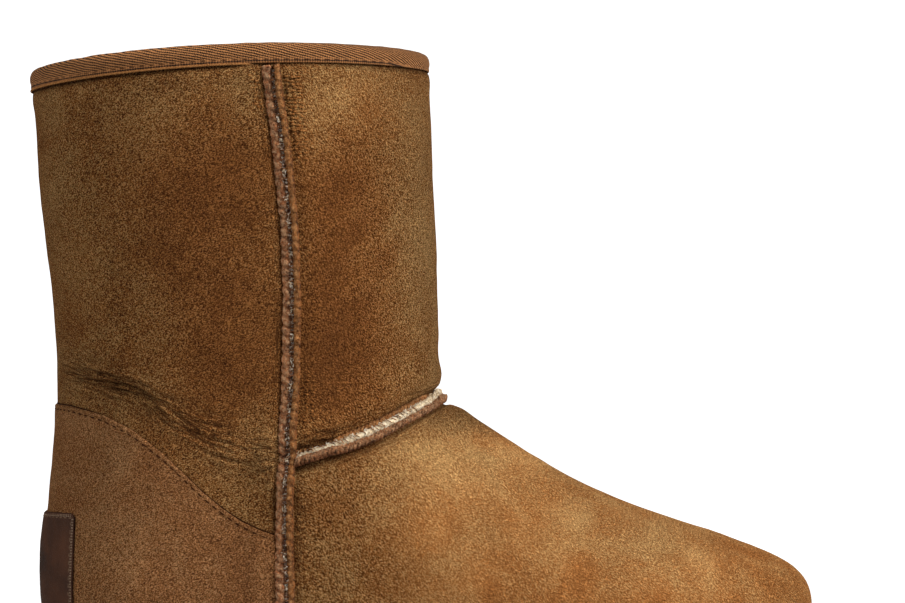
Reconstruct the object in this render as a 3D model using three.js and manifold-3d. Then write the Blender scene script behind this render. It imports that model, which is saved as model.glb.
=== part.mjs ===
// A right-foot ankle boot of sheepskin, wool side in, standing on a moulded sole.
// Millimetres. +X runs to the toe, +Y to the inner side of the foot and +Z up.

import * as THREE from "three";
import { mergeVertices } from "three/addons/utils/BufferGeometryUtils.js";
import Module from "manifold-3d";

const wasm = await Module();
wasm.setup();

// Overall sizes
const soleLength = 266;
const ballWidth = 99;
const heelWidth = 76;
const ankleLength = 134;
const shaftLength = 134.6;
const shaftWidth = 92.6;
const instepHeight = 103;
const collarHeight = 220.3;

// Sole
const heelThickness = 24.5;
const ballThickness = 18.5;
const toeThickness = 15.5;
const toeSpring = 8.5;
const archLift = 2.5;
const soleLedge = 2.4;
const lugDepth = 2;
const grooveWidth = 3;
const groovePitch = 11;
const grooveWave = 3.5;
const treadRim = 7;

// Walls and clearances
const gap = 0.3;
const sheepskinWall = 8;
const collarWall = 6.4;
const insoleThickness = 6;
const insoleClearance = 0.8;
const counterThickness = 1.2;
const patchThickness = 1;
const patchWidth = 48;
const patchHeight = 32;
const patchFoot = 32.6;
const tapeThickness = 1;
const tapeDome = 1.6;
const sideSeamWidth = 5.3;
const sideSeamHeight = 2.4;
const instepSeamWidth = 4.7;
const instepSeamHeight = 2.2;
const instepSeamFall = 0.7;
const counterRise = 0.5;

// Shape of the last
const capRoundness = 2.05;
const waistDip = 6;
const outerWaistShare = 0.33;
const toeSway = 7;
const collarSlope = 5.7;
const collarArch = 2.7;
const heelBulge = 3.6;
const ankleInset = 2.5;
const creaseInset = 1.6;
const shaftLean = 3.6;

// Mesh density
const sideSteps = 22;
const soleSteps = 34;
const fineSteps = 120;
const smallStep = 0.02;

// Rings of the foot in profile, from the feather edge on the sole to the crease at the instep.
// reach: front point, as a share of the way from the ankle's front to the toe.
// rise and heelRise: heights of the front and back points, as shares of the way from sole to instep.
// set: how far the back point stands in, as a share of the heel's bulge.
const footProfile = [
  { reach: 1.000, rise: 0.000, heelRise: 0.000, set: 0.67 },
  { reach: 1.015, rise: 0.072, heelRise: 0.055, set: 0.35 },
  { reach: 1.019, rise: 0.148, heelRise: 0.100, set: 0.17 },
  { reach: 1.007, rise: 0.228, heelRise: 0.145, set: 0.06 },
  { reach: 0.970, rise: 0.298, heelRise: 0.184, set: 0.00 },
  { reach: 0.911, rise: 0.349, heelRise: 0.216, set: 0.00 },
  { reach: 0.836, rise: 0.392, heelRise: 0.246, set: 0.03 },
  { reach: 0.709, rise: 0.470, heelRise: 0.291, set: 0.08 },
  { reach: 0.541, rise: 0.555, heelRise: 0.336, set: 0.15 },
  { reach: 0.358, rise: 0.683, heelRise: 0.387, set: 0.27 },
  { reach: 0.211, rise: 0.820, heelRise: 0.437, set: 0.42 },
  { reach: 0.114, rise: 0.922, heelRise: 0.477, set: 0.56 },
  { reach: 0.063, rise: 0.962, heelRise: 0.502, set: 0.66 },
  { reach: 0.032, rise: 0.982, heelRise: 0.522, set: 0.74 },
  { reach: 0.013, rise: 0.998, heelRise: 0.540, set: 0.80 },
];

// The same rings in plan.
// heel and ball: half widths, as shares of those of the heel and the ball.
// heelCap and toeCap: lengths of the rounded ends, as shares of the ring.
// waist, sway and seat: how much of the waist's dip, the toe's sway and the sole's curve the ring has.
const footPlan = [
  { heel: 0.925, ball: 0.945, heelCap: 0.165, toeCap: 0.31, waist: 1.00, sway: 1.00, seat: 1.00 },
  { heel: 0.962, ball: 0.982, heelCap: 0.165, toeCap: 0.31, waist: 1.00, sway: 1.00, seat: 0.85 },
  { heel: 0.982, ball: 1.000, heelCap: 0.165, toeCap: 0.31, waist: 1.00, sway: 1.00, seat: 0.70 },
  { heel: 0.992, ball: 0.998, heelCap: 0.167, toeCap: 0.32, waist: 0.95, sway: 1.00, seat: 0.55 },
  { heel: 0.998, ball: 0.986, heelCap: 0.172, toeCap: 0.33, waist: 0.90, sway: 0.98, seat: 0.40 },
  { heel: 1.000, ball: 0.968, heelCap: 0.180, toeCap: 0.34, waist: 0.80, sway: 0.94, seat: 0.30 },
  { heel: 1.000, ball: 0.950, heelCap: 0.190, toeCap: 0.35, waist: 0.70, sway: 0.88, seat: 0.20 },
  { heel: 1.000, ball: 0.920, heelCap: 0.210, toeCap: 0.37, waist: 0.55, sway: 0.72, seat: 0.10 },
  { heel: 1.000, ball: 0.886, heelCap: 0.235, toeCap: 0.39, waist: 0.40, sway: 0.54, seat: 0.05 },
  { heel: 1.002, ball: 0.858, heelCap: 0.270, toeCap: 0.41, waist: 0.25, sway: 0.34, seat: 0.00 },
  { heel: 1.010, ball: 0.842, heelCap: 0.310, toeCap: 0.43, waist: 0.12, sway: 0.18, seat: 0.00 },
  { heel: 1.022, ball: 0.839, heelCap: 0.350, toeCap: 0.45, waist: 0.05, sway: 0.08, seat: 0.00 },
  { heel: 1.032, ball: 0.840, heelCap: 0.375, toeCap: 0.46, waist: 0.00, sway: 0.03, seat: 0.00 },
  { heel: 1.042, ball: 0.844, heelCap: 0.395, toeCap: 0.46, waist: 0.00, sway: 0.00, seat: 0.00 },
  { heel: 1.050, ball: 0.848, heelCap: 0.415, toeCap: 0.47, waist: 0.00, sway: 0.00, seat: 0.00 },
];

// Rings of the shaft, from just above the crease to the collar.
// lift and backLift: heights of the front and back points, as shares of the way from instep to collar,
// or, where backLift is negative, of the way from the instep down to the heel's seat.
// lean: how far both points stand back, as a share of the shaft's lean.
// hollow: how far the back point stands in, as a share of the heel's bulge.
// wide: half width, as a share of the shaft's; cap: length of each rounded end, as a share of the ring.
// arch: share of the collar's arch.
const shaftRings = [
  { lift: 0.038, backLift: -0.364, lean: -0.08, hollow: 0.90, wide: 0.872, cap: 0.45, arch: 0.00 },
  { lift: 0.092, backLift: -0.243, lean: -0.18, hollow: 1.02, wide: 0.884, cap: 0.48, arch: 0.00 },
  { lift: 0.190, backLift: -0.043, lean: -0.38, hollow: 1.10, wide: 0.904, cap: 0.50, arch: 0.00 },
  { lift: 0.332, backLift: 0.170, lean: -0.32, hollow: 0.95, wide: 0.934, cap: 0.50, arch: 0.00 },
  { lift: 0.485, backLift: 0.375, lean: -0.05, hollow: 0.60, wide: 0.959, cap: 0.50, arch: 0.25 },
  { lift: 0.655, backLift: 0.590, lean: 0.32, hollow: 0.25, wide: 0.979, cap: 0.50, arch: 0.50 },
  { lift: 0.828, backLift: 0.790, lean: 0.60, hollow: 0.05, wide: 0.993, cap: 0.50, arch: 0.80 },
  { lift: 0.964, backLift: 0.954, lean: 0.84, hollow: 0.00, wide: 1.000, cap: 0.50, arch: 1.00 },
  { lift: 1.000, backLift: 1.000, lean: 0.92, hollow: 0.00, wide: 1.000, cap: 0.50, arch: 1.00 },
];

// Ring numbers that are meshed: every ring of the tables, and one between where the rings lie far apart.
const meshedRings = [
  0, 1, 2, 3, 4, 5, 6, 7, 8, 8.5, 9, 9.5, 10, 11, 12, 13, 14, 15, 16, 17, 17.5, 18, 18.5, 19, 19.5,
  20, 20.5, 21, 21.5, 22, 23,
];

// Cap share that a ring has at a distance from its end: a quarter of a rounded ellipse.
function capShare(distance, cap) {
  const left = Math.max(0, (cap - distance) / cap);
  return Math.pow(Math.max(0, 1 - Math.pow(left, capRoundness)), 1 / capRoundness);
}

// Heights of the sole's underside and of its upper face, along the boot.
const heelFlatEnd = 0.32;
const ballFlatStart = 0.48;
const ballFlatEnd = 0.76;

function undersideAt(x) {
  const along = x / soleLength;
  const arch = archLift * Math.pow(bump(along, heelFlatEnd, ballFlatStart), 2);
  const toe = Math.max(0, (along - ballFlatEnd) / (1 - ballFlatEnd));
  return arch + toeSpring * toe * toe;
}

function soleTopAt(x) {
  const along = x / soleLength;
  const toBall = smooth(along, 0.25, 0.7);
  const toToe = smooth(along, 0.72, 1);
  const flat = lerp(heelThickness, ballThickness, toBall);
  const spring = Math.pow(smooth(along, ballFlatEnd - 0.12, 1.12), 1.3);
  return lerp(flat, toeThickness, toToe) + toeSpring * spring;
}

function lerp(from, to, share) {
  return from + (to - from) * share;
}

function smooth(value, low, high) {
  return THREE.MathUtils.smoothstep(value, low, high);
}

// A hill of height 1 between two places, and 0 outside them.
function bump(value, low, high) {
  const share = THREE.MathUtils.clamp((value - low) / (high - low), 0, 1);
  return Math.sin(Math.PI * share);
}

// The tables' shares turned into sizes, one list for the whole upper.
const toeEnd = soleLength - soleLedge;
const ankleBack = ankleInset;
const ankleFront = ankleBack + ankleLength - creaseInset;
const toeSeat = soleTopAt(toeEnd) + gap;
const heelSeat = soleTopAt(soleLedge) + gap;

const footSections = footProfile.map(({ reach, rise, heelRise, set }, row) => ({
  ...footPlan[row],
  frontX: lerp(ankleFront, toeEnd, reach),
  frontZ: lerp(toeSeat, instepHeight, rise),
  backX: heelBulge * set,
  backZ: lerp(heelSeat, instepHeight, heelRise),
  heelHalf: (heelWidth / 2) * footPlan[row].heel,
  ballHalf: (ballWidth / 2) * footPlan[row].ball,
  arch: 0,
}));

const shaftSections = shaftRings.map((ring) => {
  const spread = lerp(ankleLength, shaftLength, THREE.MathUtils.clamp(ring.lift, 0, 1)) - ankleLength;
  const backEnd = ring.backLift < 0 ? heelSeat : collarHeight - collarSlope;
  return {
    frontX: ankleFront - shaftLean * ring.lean + spread / 2,
    frontZ: lerp(instepHeight, collarHeight, ring.lift),
    backX: heelBulge * ring.hollow - shaftLean * ring.lean - spread / 2,
    backZ: lerp(instepHeight, backEnd, Math.abs(ring.backLift)),
    heelHalf: (shaftWidth / 2) * ring.wide,
    ballHalf: (shaftWidth / 2) * ring.wide,
    heelCap: ring.cap,
    toeCap: ring.cap,
    waist: 0,
    sway: 0,
    seat: 0,
    arch: ring.arch,
  };
});

const sections = [...footSections, ...shaftSections];
const sizeNames = Object.keys(shaftSections[0]);
const topRing = sections.length - 1;
const tapeRing = topRing - 1;

// A column's value between two rows: a cubic that never runs past the rows beside it.
function between(column, place) {
  const row = Math.min(Math.floor(place), topRing - 1);
  const value = (k) => sections[THREE.MathUtils.clamp(k, 0, topRing)][column];
  const step = (k) => value(k + 1) - value(k);
  const slope = (k) => {
    const before = step(k - 1);
    const after = step(k);
    return before * after > 0 ? (2 * before * after) / (before + after) : 0;
  };
  const t = place - row;
  const start = row === 0 ? step(0) : slope(row);
  const end = row === topRing - 1 ? step(row) : slope(row + 1);
  const rise = step(row);
  return value(row) + t * (start + t * (3 * rise - 2 * start - end + t * (start + end - 2 * rise)));
}

function sectionAt(place) {
  return Object.fromEntries(sizeNames.map((name) => [name, between(name, place)]));
}

// A point of a ring. along runs from 0 at the back to 1 at the front.
// side is -1 on the outer side of the foot and 1 on the inner.
function ringPoint(section, along, side) {
  const x = lerp(section.backX, section.frontX, along);
  const chord = lerp(section.backZ, section.frontZ, along);
  const straightSeat = lerp(heelSeat, toeSeat, x / soleLength);
  const dip = section.seat * (soleTopAt(x) + gap - straightSeat);
  const z = chord + dip + section.arch * collarArch * 4 * along * (1 - along);
  const broad = lerp(section.heelHalf, section.ballHalf, smooth(along, 0.16, 0.7));
  const waistHere = Math.exp(-Math.pow((along - 0.42) / 0.16, 2));
  const narrow = section.waist * waistDip * waistHere * (side > 0 ? 1 : outerWaistShare);
  const caps = capShare(along, section.heelCap) * capShare(1 - along, section.toeCap);
  const sway = toeSway * section.sway * smooth(along, 0.45, 1.05);
  return new THREE.Vector3(x, side * (broad - narrow) * caps + sway, z);
}

// One side of a ring as evenly spaced points from back to front.
function sidePoints(section, side, steps) {
  const fine = [];
  for (let k = 0; k <= fineSteps; k++) {
    const along = (1 - Math.cos((Math.PI * k) / fineSteps)) / 2;
    fine.push(ringPoint(section, along, side));
  }
  const run = [0];
  for (let k = 1; k <= fineSteps; k++) {
    run.push(run[k - 1] + fine[k].distanceTo(fine[k - 1]));
  }
  const points = [];
  let k = 1;
  for (let step = 0; step <= steps; step++) {
    const want = (run[fineSteps] * step) / steps;
    while (k < fineSteps && run[k] < want) k++;
    points.push(fine[k - 1].clone().lerp(fine[k], (want - run[k - 1]) / (run[k] - run[k - 1])));
  }
  return points;
}

// A whole ring: back, outer side, front, inner side.
function ringLoop(place, steps = sideSteps) {
  const section = sectionAt(place);
  const outer = sidePoints(section, -1, steps);
  const inner = sidePoints(section, 1, steps);
  return [...outer, ...inner.slice(1, -1).reverse()];
}

// Outward directions along a ring, from the surface's two tangents.
function ringNormals(place) {
  const loop = ringLoop(place);
  const above = ringLoop(Math.min(topRing, place + smallStep));
  const below = ringLoop(Math.max(0, place - smallStep));
  return loop.map((point, k) => {
    const round = loop[(k + 1) % loop.length].clone().sub(loop.at(k - 1));
    return round.cross(above[k].clone().sub(below[k])).normalize();
  });
}

const rings = meshedRings.map((place) => ({ points: ringLoop(place), normals: ringNormals(place) }));
const featherEdge = ringLoop(0, soleSteps);

// The rings moved out from the upper's face by a distance that may change from ring to ring.
function movedRings(distanceAt) {
  return rings.map(({ points, normals }, row) =>
    points.map((point, k) => point.clone().addScaledVector(normals[k], distanceAt(row))),
  );
}

// A closed geometry from a stack of equal loops, with ends bridged side to side or joined to each other.
function stackGeometry(loops, joined = false) {
  const count = loops[0].length;
  const positions = loops.flat().flatMap((point) => [point.x, point.y, point.z]);
  const faces = [];
  const at = (row, k) => (row % loops.length) * count + (k % count);
  const rowsToJoin = joined ? loops.length : loops.length - 1;
  for (let row = 0; row < rowsToJoin; row++) {
    for (let k = 0; k < count; k++) {
      faces.push(at(row, k), at(row, k + 1), at(row + 1, k + 1));
      faces.push(at(row, k), at(row + 1, k + 1), at(row + 1, k));
    }
  }
  if (!joined) {
    for (let k = 0; k < count / 2; k++) {
      const [a, b, c, d] = [k, k + 1, count - k - 1, (count - k) % count];
      const last = loops.length - 1;
      addQuad(faces, [d, c, b, a]);
      addQuad(faces, [a, b, c, d].map((corner) => last * count + corner));
    }
  }
  return indexedGeometry(positions, faces);
}

// Two triangles of a quad, or one where two of its corners are the same.
function addQuad(faces, [a, b, c, d]) {
  if (a !== b && b !== c && a !== c) faces.push(a, b, c);
  if (a !== c && c !== d && a !== d) faces.push(a, c, d);
}

function indexedGeometry(positions, faces) {
  const geometry = new THREE.BufferGeometry();
  geometry.setAttribute("position", new THREE.Float32BufferAttribute(positions, 3));
  geometry.setIndex(faces);
  return geometry;
}

// Solids for cutting and joining, and geometries for meshes.
function toSolid(geometry) {
  const bare = geometry.clone();
  bare.deleteAttribute("normal");
  bare.deleteAttribute("uv");
  const merged = mergeVertices(bare, 1e-4);
  return new wasm.Manifold(
    new wasm.Mesh({
      numProp: 3,
      vertProperties: merged.attributes.position.array,
      triVerts: new Uint32Array(merged.index.array),
    }),
  );
}

function toGeometry(solid) {
  const mesh = solid.getMesh();
  const geometry = new THREE.BufferGeometry();
  geometry.setAttribute("position", new THREE.BufferAttribute(new Float32Array(mesh.vertProperties), 3));
  geometry.setIndex(new THREE.BufferAttribute(new Uint32Array(mesh.triVerts), 1));
  return geometry;
}

function largestPiece(solid) {
  return solid.decompose().sort((a, b) => b.volume() - a.volume())[0];
}

// A side outline in X and Z, drawn through the whole boot or through one side of it.
function sideCutter(outline, fromY, toY) {
  const shape = new THREE.Shape(outline.map(([x, z]) => new THREE.Vector2(x, z)));
  const block = new THREE.ExtrudeGeometry(shape, { depth: toY - fromY, bevelEnabled: false });
  block.rotateX(Math.PI / 2);
  block.translate(0, toY, 0);
  return toSolid(block);
}

// A path in X and Z redrawn as a smooth curve of even steps.
function smoothPath(path, count) {
  const curve = new THREE.SplineCurve(path.map(([x, z]) => new THREE.Vector2(x, z)));
  return curve.getSpacedPoints(count).map((point) => [point.x, point.y]);
}

// A band of even width along a path in X and Z, as an outline.
function bandOutline(path, width) {
  const left = [];
  const right = [];
  path.forEach(([x, z], k) => {
    const [x0, z0] = path[Math.max(0, k - 1)];
    const [x1, z1] = path[Math.min(path.length - 1, k + 1)];
    const run = Math.hypot(x1 - x0, z1 - z0);
    const [sideX, sideZ] = [(-(z1 - z0) / run) * (width / 2), ((x1 - x0) / run) * (width / 2)];
    left.push([x + sideX, z + sideZ]);
    right.unshift([x - sideX, z - sideZ]);
  });
  return [...left, ...right];
}

// Everything under the sole's upper face, and the gap above it.
function underSole() {
  const edge = [];
  for (let k = 0; k <= 40; k++) {
    const x = lerp(-soleLedge, soleLength + soleLedge, k / 40);
    edge.push([x, soleTopAt(x) + gap]);
  }
  const outline = [...edge, [edge.at(-1)[0], -toeSpring], [edge[0][0], -toeSpring]];
  return sideCutter(outline, -ballWidth, ballWidth);
}

// The layer between two distances from the upper's face.
function layer(from, to) {
  const outer = toSolid(stackGeometry(movedRings(() => to)));
  const inner = toSolid(stackGeometry(movedRings(() => from)));
  return outer.subtract(inner).subtract(underSole());
}

// Upper: one wall from the feather edge to a domed collar, open at both ends.
function wallAt(row) {
  const nearCollar = smooth(meshedRings[row], topRing - 4, topRing - 1.5);
  return lerp(sheepskinWall, collarWall, nearCollar);
}

function upperGeometry() {
  const outside = movedRings(() => 0);
  const inside = movedRings((row) => -wallAt(row)).filter((_, row) => row % 2 === 0);
  inside[0].forEach((point) => {
    point.z = soleTopAt(point.x) + gap;
  });
  const crown = domeRing(collarWall / 2, tapeDome);
  return stackGeometry([...outside, crown, ...inside.reverse()], true);
}

// The collar's edge ring moved inwards and up.
function domeRing(inwards, up) {
  const { points, normals } = rings.at(-1);
  return points.map((point, k) => {
    const moved = point.clone().addScaledVector(normals[k], -inwards);
    moved.z += up;
    return moved;
  });
}

// Collar binding: a tape folded over the collar, down both faces to the ring below the edge.
function bindingGeometry() {
  const low = meshedRings.indexOf(tapeRing);
  const lowRing = (distance) =>
    rings[low].points.map((point, k) => point.clone().addScaledVector(rings[low].normals[k], distance));
  const far = gap + tapeThickness;
  const profile = [
    lowRing(gap),
    lowRing(far),
    domeRing(-far, 0),
    domeRing(-far * 0.2, tapeDome * 0.75 + far * 0.75),
    domeRing(collarWall / 2, tapeDome + far),
    domeRing(collarWall + far * 0.2, tapeDome * 0.75 + far * 0.75),
    domeRing(collarWall + far, 0),
    lowRing(-collarWall - far),
    lowRing(-collarWall - gap),
    domeRing(collarWall + gap, gap / 2),
    domeRing(collarWall / 2, tapeDome + gap * 1.3),
    domeRing(-gap, gap / 2),
  ];
  return stackGeometry(profile, true);
}

// Side seam and heel counter, as paths seen from the side.
// up: share of the way from the sole to the tape's lower edge; along: share of the ankle's length.
const seamPath = [
  { up: 0.00, along: 0.616 },
  { up: 0.10, along: 0.614 },
  { up: 0.21, along: 0.614 },
  { up: 0.35, along: 0.619 },
  { up: 0.48, along: 0.630 },
  { up: 0.62, along: 0.633 },
  { up: 0.74, along: 0.626 },
  { up: 0.87, along: 0.606 },
  { up: 1.00, along: 0.579 },
];

// back: share of the way from the seam's foot to the boot's back; high: share of the counter's height.
const counterHeight = instepHeight + counterRise;
const counterEdge = [
  { back: 0.00, high: 0.556 },
  { back: 0.09, high: 0.580 },
  { back: 0.17, high: 0.610 },
  { back: 0.25, high: 0.654 },
  { back: 0.33, high: 0.708 },
  { back: 0.41, high: 0.772 },
  { back: 0.49, high: 0.832 },
  { back: 0.61, high: 0.905 },
  { back: 0.73, high: 0.953 },
  { back: 0.87, high: 0.982 },
  { back: 1.00, high: 0.993 },
  { back: 1.10, high: 0.993 },
];

// Instep seam, from the side seam up to the instep's front.
// ahead: share of the way from the side seam to the ankle's front; drop: how far under the instep's crease.
const instepPath = [
  { ahead: 0.00, drop: 1.03 },
  { ahead: 0.22, drop: 0.85 },
  { ahead: 0.42, drop: 0.65 },
  { ahead: 0.64, drop: 0.38 },
  { ahead: 0.86, drop: 0.09 },
  { ahead: 1.02, drop: -0.09 },
  { ahead: 1.20, drop: -0.30 },
];
const instepSeamDrop = 18;
const instepSeamTop = instepHeight - instepSeamFall;

const seamFoot = 14;
const seamHead = ringPoint(sectionAt(tapeRing), seamPath.at(-1).along, 1).z - 2 * gap;
const seamPoints = smoothPath(
  seamPath.map(({ up, along }) => [ankleBack + ankleLength * along, lerp(seamFoot, seamHead, up)]),
  16,
);

// The side seam's place at a height.
function seamAt(z) {
  const k = Math.max(1, seamPoints.findIndex((point) => point[1] >= z));
  const [x0, z0] = seamPoints[k - 1];
  const [x1, z1] = seamPoints[k];
  return lerp(x0, x1, (z - z0) / (z1 - z0));
}

// Both side seams with a gap around them.
function sideSeamSpace() {
  return sideCutter(bandOutline(seamPoints, sideSeamWidth + 2 * gap), -ballWidth, ballWidth);
}

function sideSeamGeometry(side) {
  const band = bandOutline(seamPoints, sideSeamWidth);
  const cutter = side < 0 ? sideCutter(band, -ballWidth, 0) : sideCutter(band, 0, ballWidth);
  return toGeometry(largestPiece(layer(gap, gap + sideSeamHeight).intersect(cutter)));
}

function instepSeamGeometry() {
  const start = seamAt(instepSeamTop - instepSeamDrop);
  const path = instepPath.map(({ ahead, drop }) => [
    lerp(start, ankleFront, ahead),
    instepSeamTop - instepSeamDrop * drop,
  ]);
  const cutter = sideCutter(bandOutline(path, instepSeamWidth), -ballWidth, ballWidth);
  const strip = layer(gap, gap + instepSeamHeight).intersect(cutter.subtract(sideSeamSpace()));
  return toGeometry(largestPiece(strip));
}

// Heel counter: an overlay behind the side seams and under its curved edge.
function counterGeometry() {
  const footX = seamAt(counterHeight * counterEdge[0].high);
  const corners = counterEdge.map(({ back, high }) => [lerp(footX, 0, back), counterHeight * high]);
  const edge = smoothPath(corners, 22);
  const outline = [...edge, [-ballWidth, counterHeight], [-ballWidth, 0], seamPoints[0]];
  const cutter = sideCutter(outline, -ballWidth, ballWidth).subtract(sideSeamSpace());
  return toGeometry(largestPiece(layer(gap, gap + counterThickness).intersect(cutter)));
}

// Heel patch: a plain plate sewn on the middle of the counter.
function patchGeometry() {
  const box = new THREE.BoxGeometry(ankleLength / 2, patchWidth, patchHeight);
  box.translate(0, 0, patchFoot + patchHeight / 2);
  const from = 2 * gap + counterThickness;
  return toGeometry(largestPiece(layer(from, from + patchThickness).intersect(toSolid(box))));
}

// Sole: loops of one outline, from the underside's rounded edge to its upper face.
// up: share of the thickness; inset: how far the loop stands in from the full outline.
const soleLoops = [
  { up: 0.00, inset: 3.2 },
  { up: 0.05, inset: 1.6 },
  { up: 0.14, inset: 0.5 },
  { up: 0.30, inset: 0.0 },
  { up: 0.86, inset: 0.0 },
  { up: 1.00, inset: 0.9 },
];

// The feather edge's outline in plan, moved outwards, with its ends on the middle line's own points.
function outlineLoop(outwards) {
  return featherEdge.map((point, k) => {
    const along = featherEdge[(k + 1) % featherEdge.length].clone().sub(featherEdge.at(k - 1));
    const out = new THREE.Vector3(along.y, -along.x, 0).normalize();
    return new THREE.Vector3(point.x + out.x * outwards, point.y + out.y * outwards, 0);
  });
}

function soleBlank() {
  const loops = soleLoops.map(({ up, inset }) =>
    outlineLoop(soleLedge - inset).map((point) => {
      const x = THREE.MathUtils.clamp(point.x, 0, soleLength);
      return new THREE.Vector3(point.x, point.y, lerp(undersideAt(x), soleTopAt(x), up));
    }),
  );
  return toSolid(stackGeometry(loops));
}

// Wavy grooves across the heel and the forefoot, kept inside a plain rim.
function grooveCutter(x) {
  const outline = [];
  const waves = 6;
  for (let k = 0; k <= waves; k++) {
    const y = lerp(-ballWidth / 2, ballWidth / 2, k / waves);
    outline.push([x + (k % 2 ? grooveWave : 0) - grooveWidth / 2, y]);
  }
  const back = outline.map(([waveX, y]) => [waveX + grooveWidth, y]).reverse();
  const shape = new THREE.Shape([...outline, ...back].map(([px, py]) => new THREE.Vector2(px, py)));
  const block = new THREE.ExtrudeGeometry(shape, { depth: lugDepth * 2, bevelEnabled: false });
  block.translate(0, 0, undersideAt(x + grooveWave / 2) - lugDepth);
  return toSolid(block);
}

const heelTread = { from: 0.09, to: 0.31 };
const ballTread = { from: 0.47, to: 0.94 };

function grooveRow({ from, to }) {
  const count = Math.floor((soleLength * (to - from)) / groovePitch);
  const places = Array.from({ length: count + 1 }, (_, k) => soleLength * from + k * groovePitch);
  return places.map(grooveCutter);
}

function outsoleGeometry() {
  const rim = [-ballWidth, ballWidth].map((z) =>
    outlineLoop(soleLedge - treadRim).map((point) => new THREE.Vector3(point.x, point.y, z)),
  );
  const inside = toSolid(stackGeometry(rim));
  const grooves = wasm.Manifold.union([...grooveRow(heelTread), ...grooveRow(ballTread)]);
  return toGeometry(soleBlank().subtract(grooves.intersect(inside)));
}

// Insole: a pad on the sole, inside the upper's feather edge.
function insoleGeometry() {
  const loops = [0, 0.8, 1].map((up) => {
    const inset = sheepskinWall + insoleClearance + (up === 1 ? 1.2 : 0);
    return outlineLoop(-inset).map(
      (point) => new THREE.Vector3(point.x, point.y, soleTopAt(point.x) + gap + up * insoleThickness),
    );
  });
  return stackGeometry(loops);
}

// Materials
const suede = { color: 0x8a5a2e, roughness: 0.95, metalness: 0 };
const counterSuede = { color: 0x75492a, roughness: 0.9, metalness: 0 };
const twill = { color: 0x7d5531, roughness: 0.85, metalness: 0 };
const seamEdge = { color: 0x6b4a35, roughness: 0.95, metalness: 0 };
const wool = { color: 0xe2d3b4, roughness: 1, metalness: 0 };
const foam = { color: 0xa9794a, roughness: 0.8, metalness: 0 };
const patchLeather = { color: 0x3f2c22, roughness: 0.6, metalness: 0 };

const boot = new THREE.Group();

function addPiece(name, geometry, finish) {
  const mesh = new THREE.Mesh(geometry, new THREE.MeshStandardMaterial(finish));
  mesh.name = name;
  boot.add(mesh);
}

addPiece("outsole", outsoleGeometry(), foam);
addPiece("insole", insoleGeometry(), wool);
addPiece("upper", upperGeometry(), suede);
addPiece("heel_counter", counterGeometry(), counterSuede);
addPiece("heel_patch", patchGeometry(), patchLeather);
addPiece("collar_binding", bindingGeometry(), twill);
addPiece("side_seam_outer", sideSeamGeometry(-1), seamEdge);
addPiece("side_seam_inner", sideSeamGeometry(1), seamEdge);
addPiece("instep_seam", instepSeamGeometry(), seamEdge);

// The origin is under the middle of the boot, on the floor.
const extent = new THREE.Box3().setFromObject(boot);
const middle = extent.getCenter(new THREE.Vector3());
boot.position.set(-middle.x, -middle.y, -extent.min.z);

export default boot;
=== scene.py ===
"""The looks of a sheepskin boot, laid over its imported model.

Everything is in metres in the model's own frame: +X runs to the toe, -Y to the outer side and +Z up.
Tables of folds and tones hold millimetres: forward of the heel's back, and above the floor.
"""

import logging
import math
from contextlib import contextmanager
from dataclasses import dataclass, field
from enum import Enum
from typing import Callable, Iterator

import bpy
import numpy as np
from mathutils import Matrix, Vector
from mathutils.bvhtree import BVHTree
from mathutils.kdtree import KDTree


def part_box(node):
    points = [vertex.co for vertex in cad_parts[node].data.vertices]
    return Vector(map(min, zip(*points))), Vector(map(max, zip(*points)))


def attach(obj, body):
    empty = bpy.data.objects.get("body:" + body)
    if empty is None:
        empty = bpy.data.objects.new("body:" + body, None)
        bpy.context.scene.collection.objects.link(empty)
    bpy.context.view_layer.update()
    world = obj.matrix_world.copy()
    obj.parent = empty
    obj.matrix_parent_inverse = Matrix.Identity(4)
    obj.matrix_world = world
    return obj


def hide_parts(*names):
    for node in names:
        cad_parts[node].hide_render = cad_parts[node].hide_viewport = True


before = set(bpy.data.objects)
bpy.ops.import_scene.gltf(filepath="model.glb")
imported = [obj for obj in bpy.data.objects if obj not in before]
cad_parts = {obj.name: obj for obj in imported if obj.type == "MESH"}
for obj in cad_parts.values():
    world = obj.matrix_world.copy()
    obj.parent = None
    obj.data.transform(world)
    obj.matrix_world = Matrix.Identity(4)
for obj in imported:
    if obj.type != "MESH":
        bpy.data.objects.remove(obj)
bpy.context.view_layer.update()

log = logging.getLogger("boot")

Array = np.ndarray
Piece = bpy.types.Object
Material = bpy.types.Material
Socket = bpy.types.NodeSocket
Colour = tuple[float, float, float, float]
Shape = Callable[[Array, Array], Array]
Met = tuple[Vector, Vector]

MM = 0.001
HEEL_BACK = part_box("outsole")[0].x
SOLE_TOP_AT_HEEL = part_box("heel_counter")[0].z
TAPE_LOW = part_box("collar_binding")[0].z
COLLAR_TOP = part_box("collar_binding")[1].z
SEAM_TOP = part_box("side_seam_outer")[1].z
# The ankle's and the shaft's places on X
ANKLE_BACK = HEEL_BACK + 2.5 * MM
ANKLE_LENGTH = 134 * MM
ANKLE_FRONT = ANKLE_BACK + 132.4 * MM
SHAFT_AXIS = HEEL_BACK + 69 * MM
# Heights that the counter's edge and the instep seam lie between
COUNTER_RANGE = (40 * MM, 112 * MM)
INSTEP_RANGE = (70 * MM, 112 * MM)
# A step whose multiples spread evenly over 0 to 1
GOLDEN = 0.618034


class Side(Enum):
    """The two sides of the boot, by the sign of Y."""

    OUTER = -1
    INNER = 1


# Small mesh helpers


def choose(piece: Piece) -> None:
    """Makes one piece the only selected and active one."""
    bpy.ops.object.select_all(action="DESELECT")
    piece.select_set(True)
    bpy.context.view_layer.objects.active = piece


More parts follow.
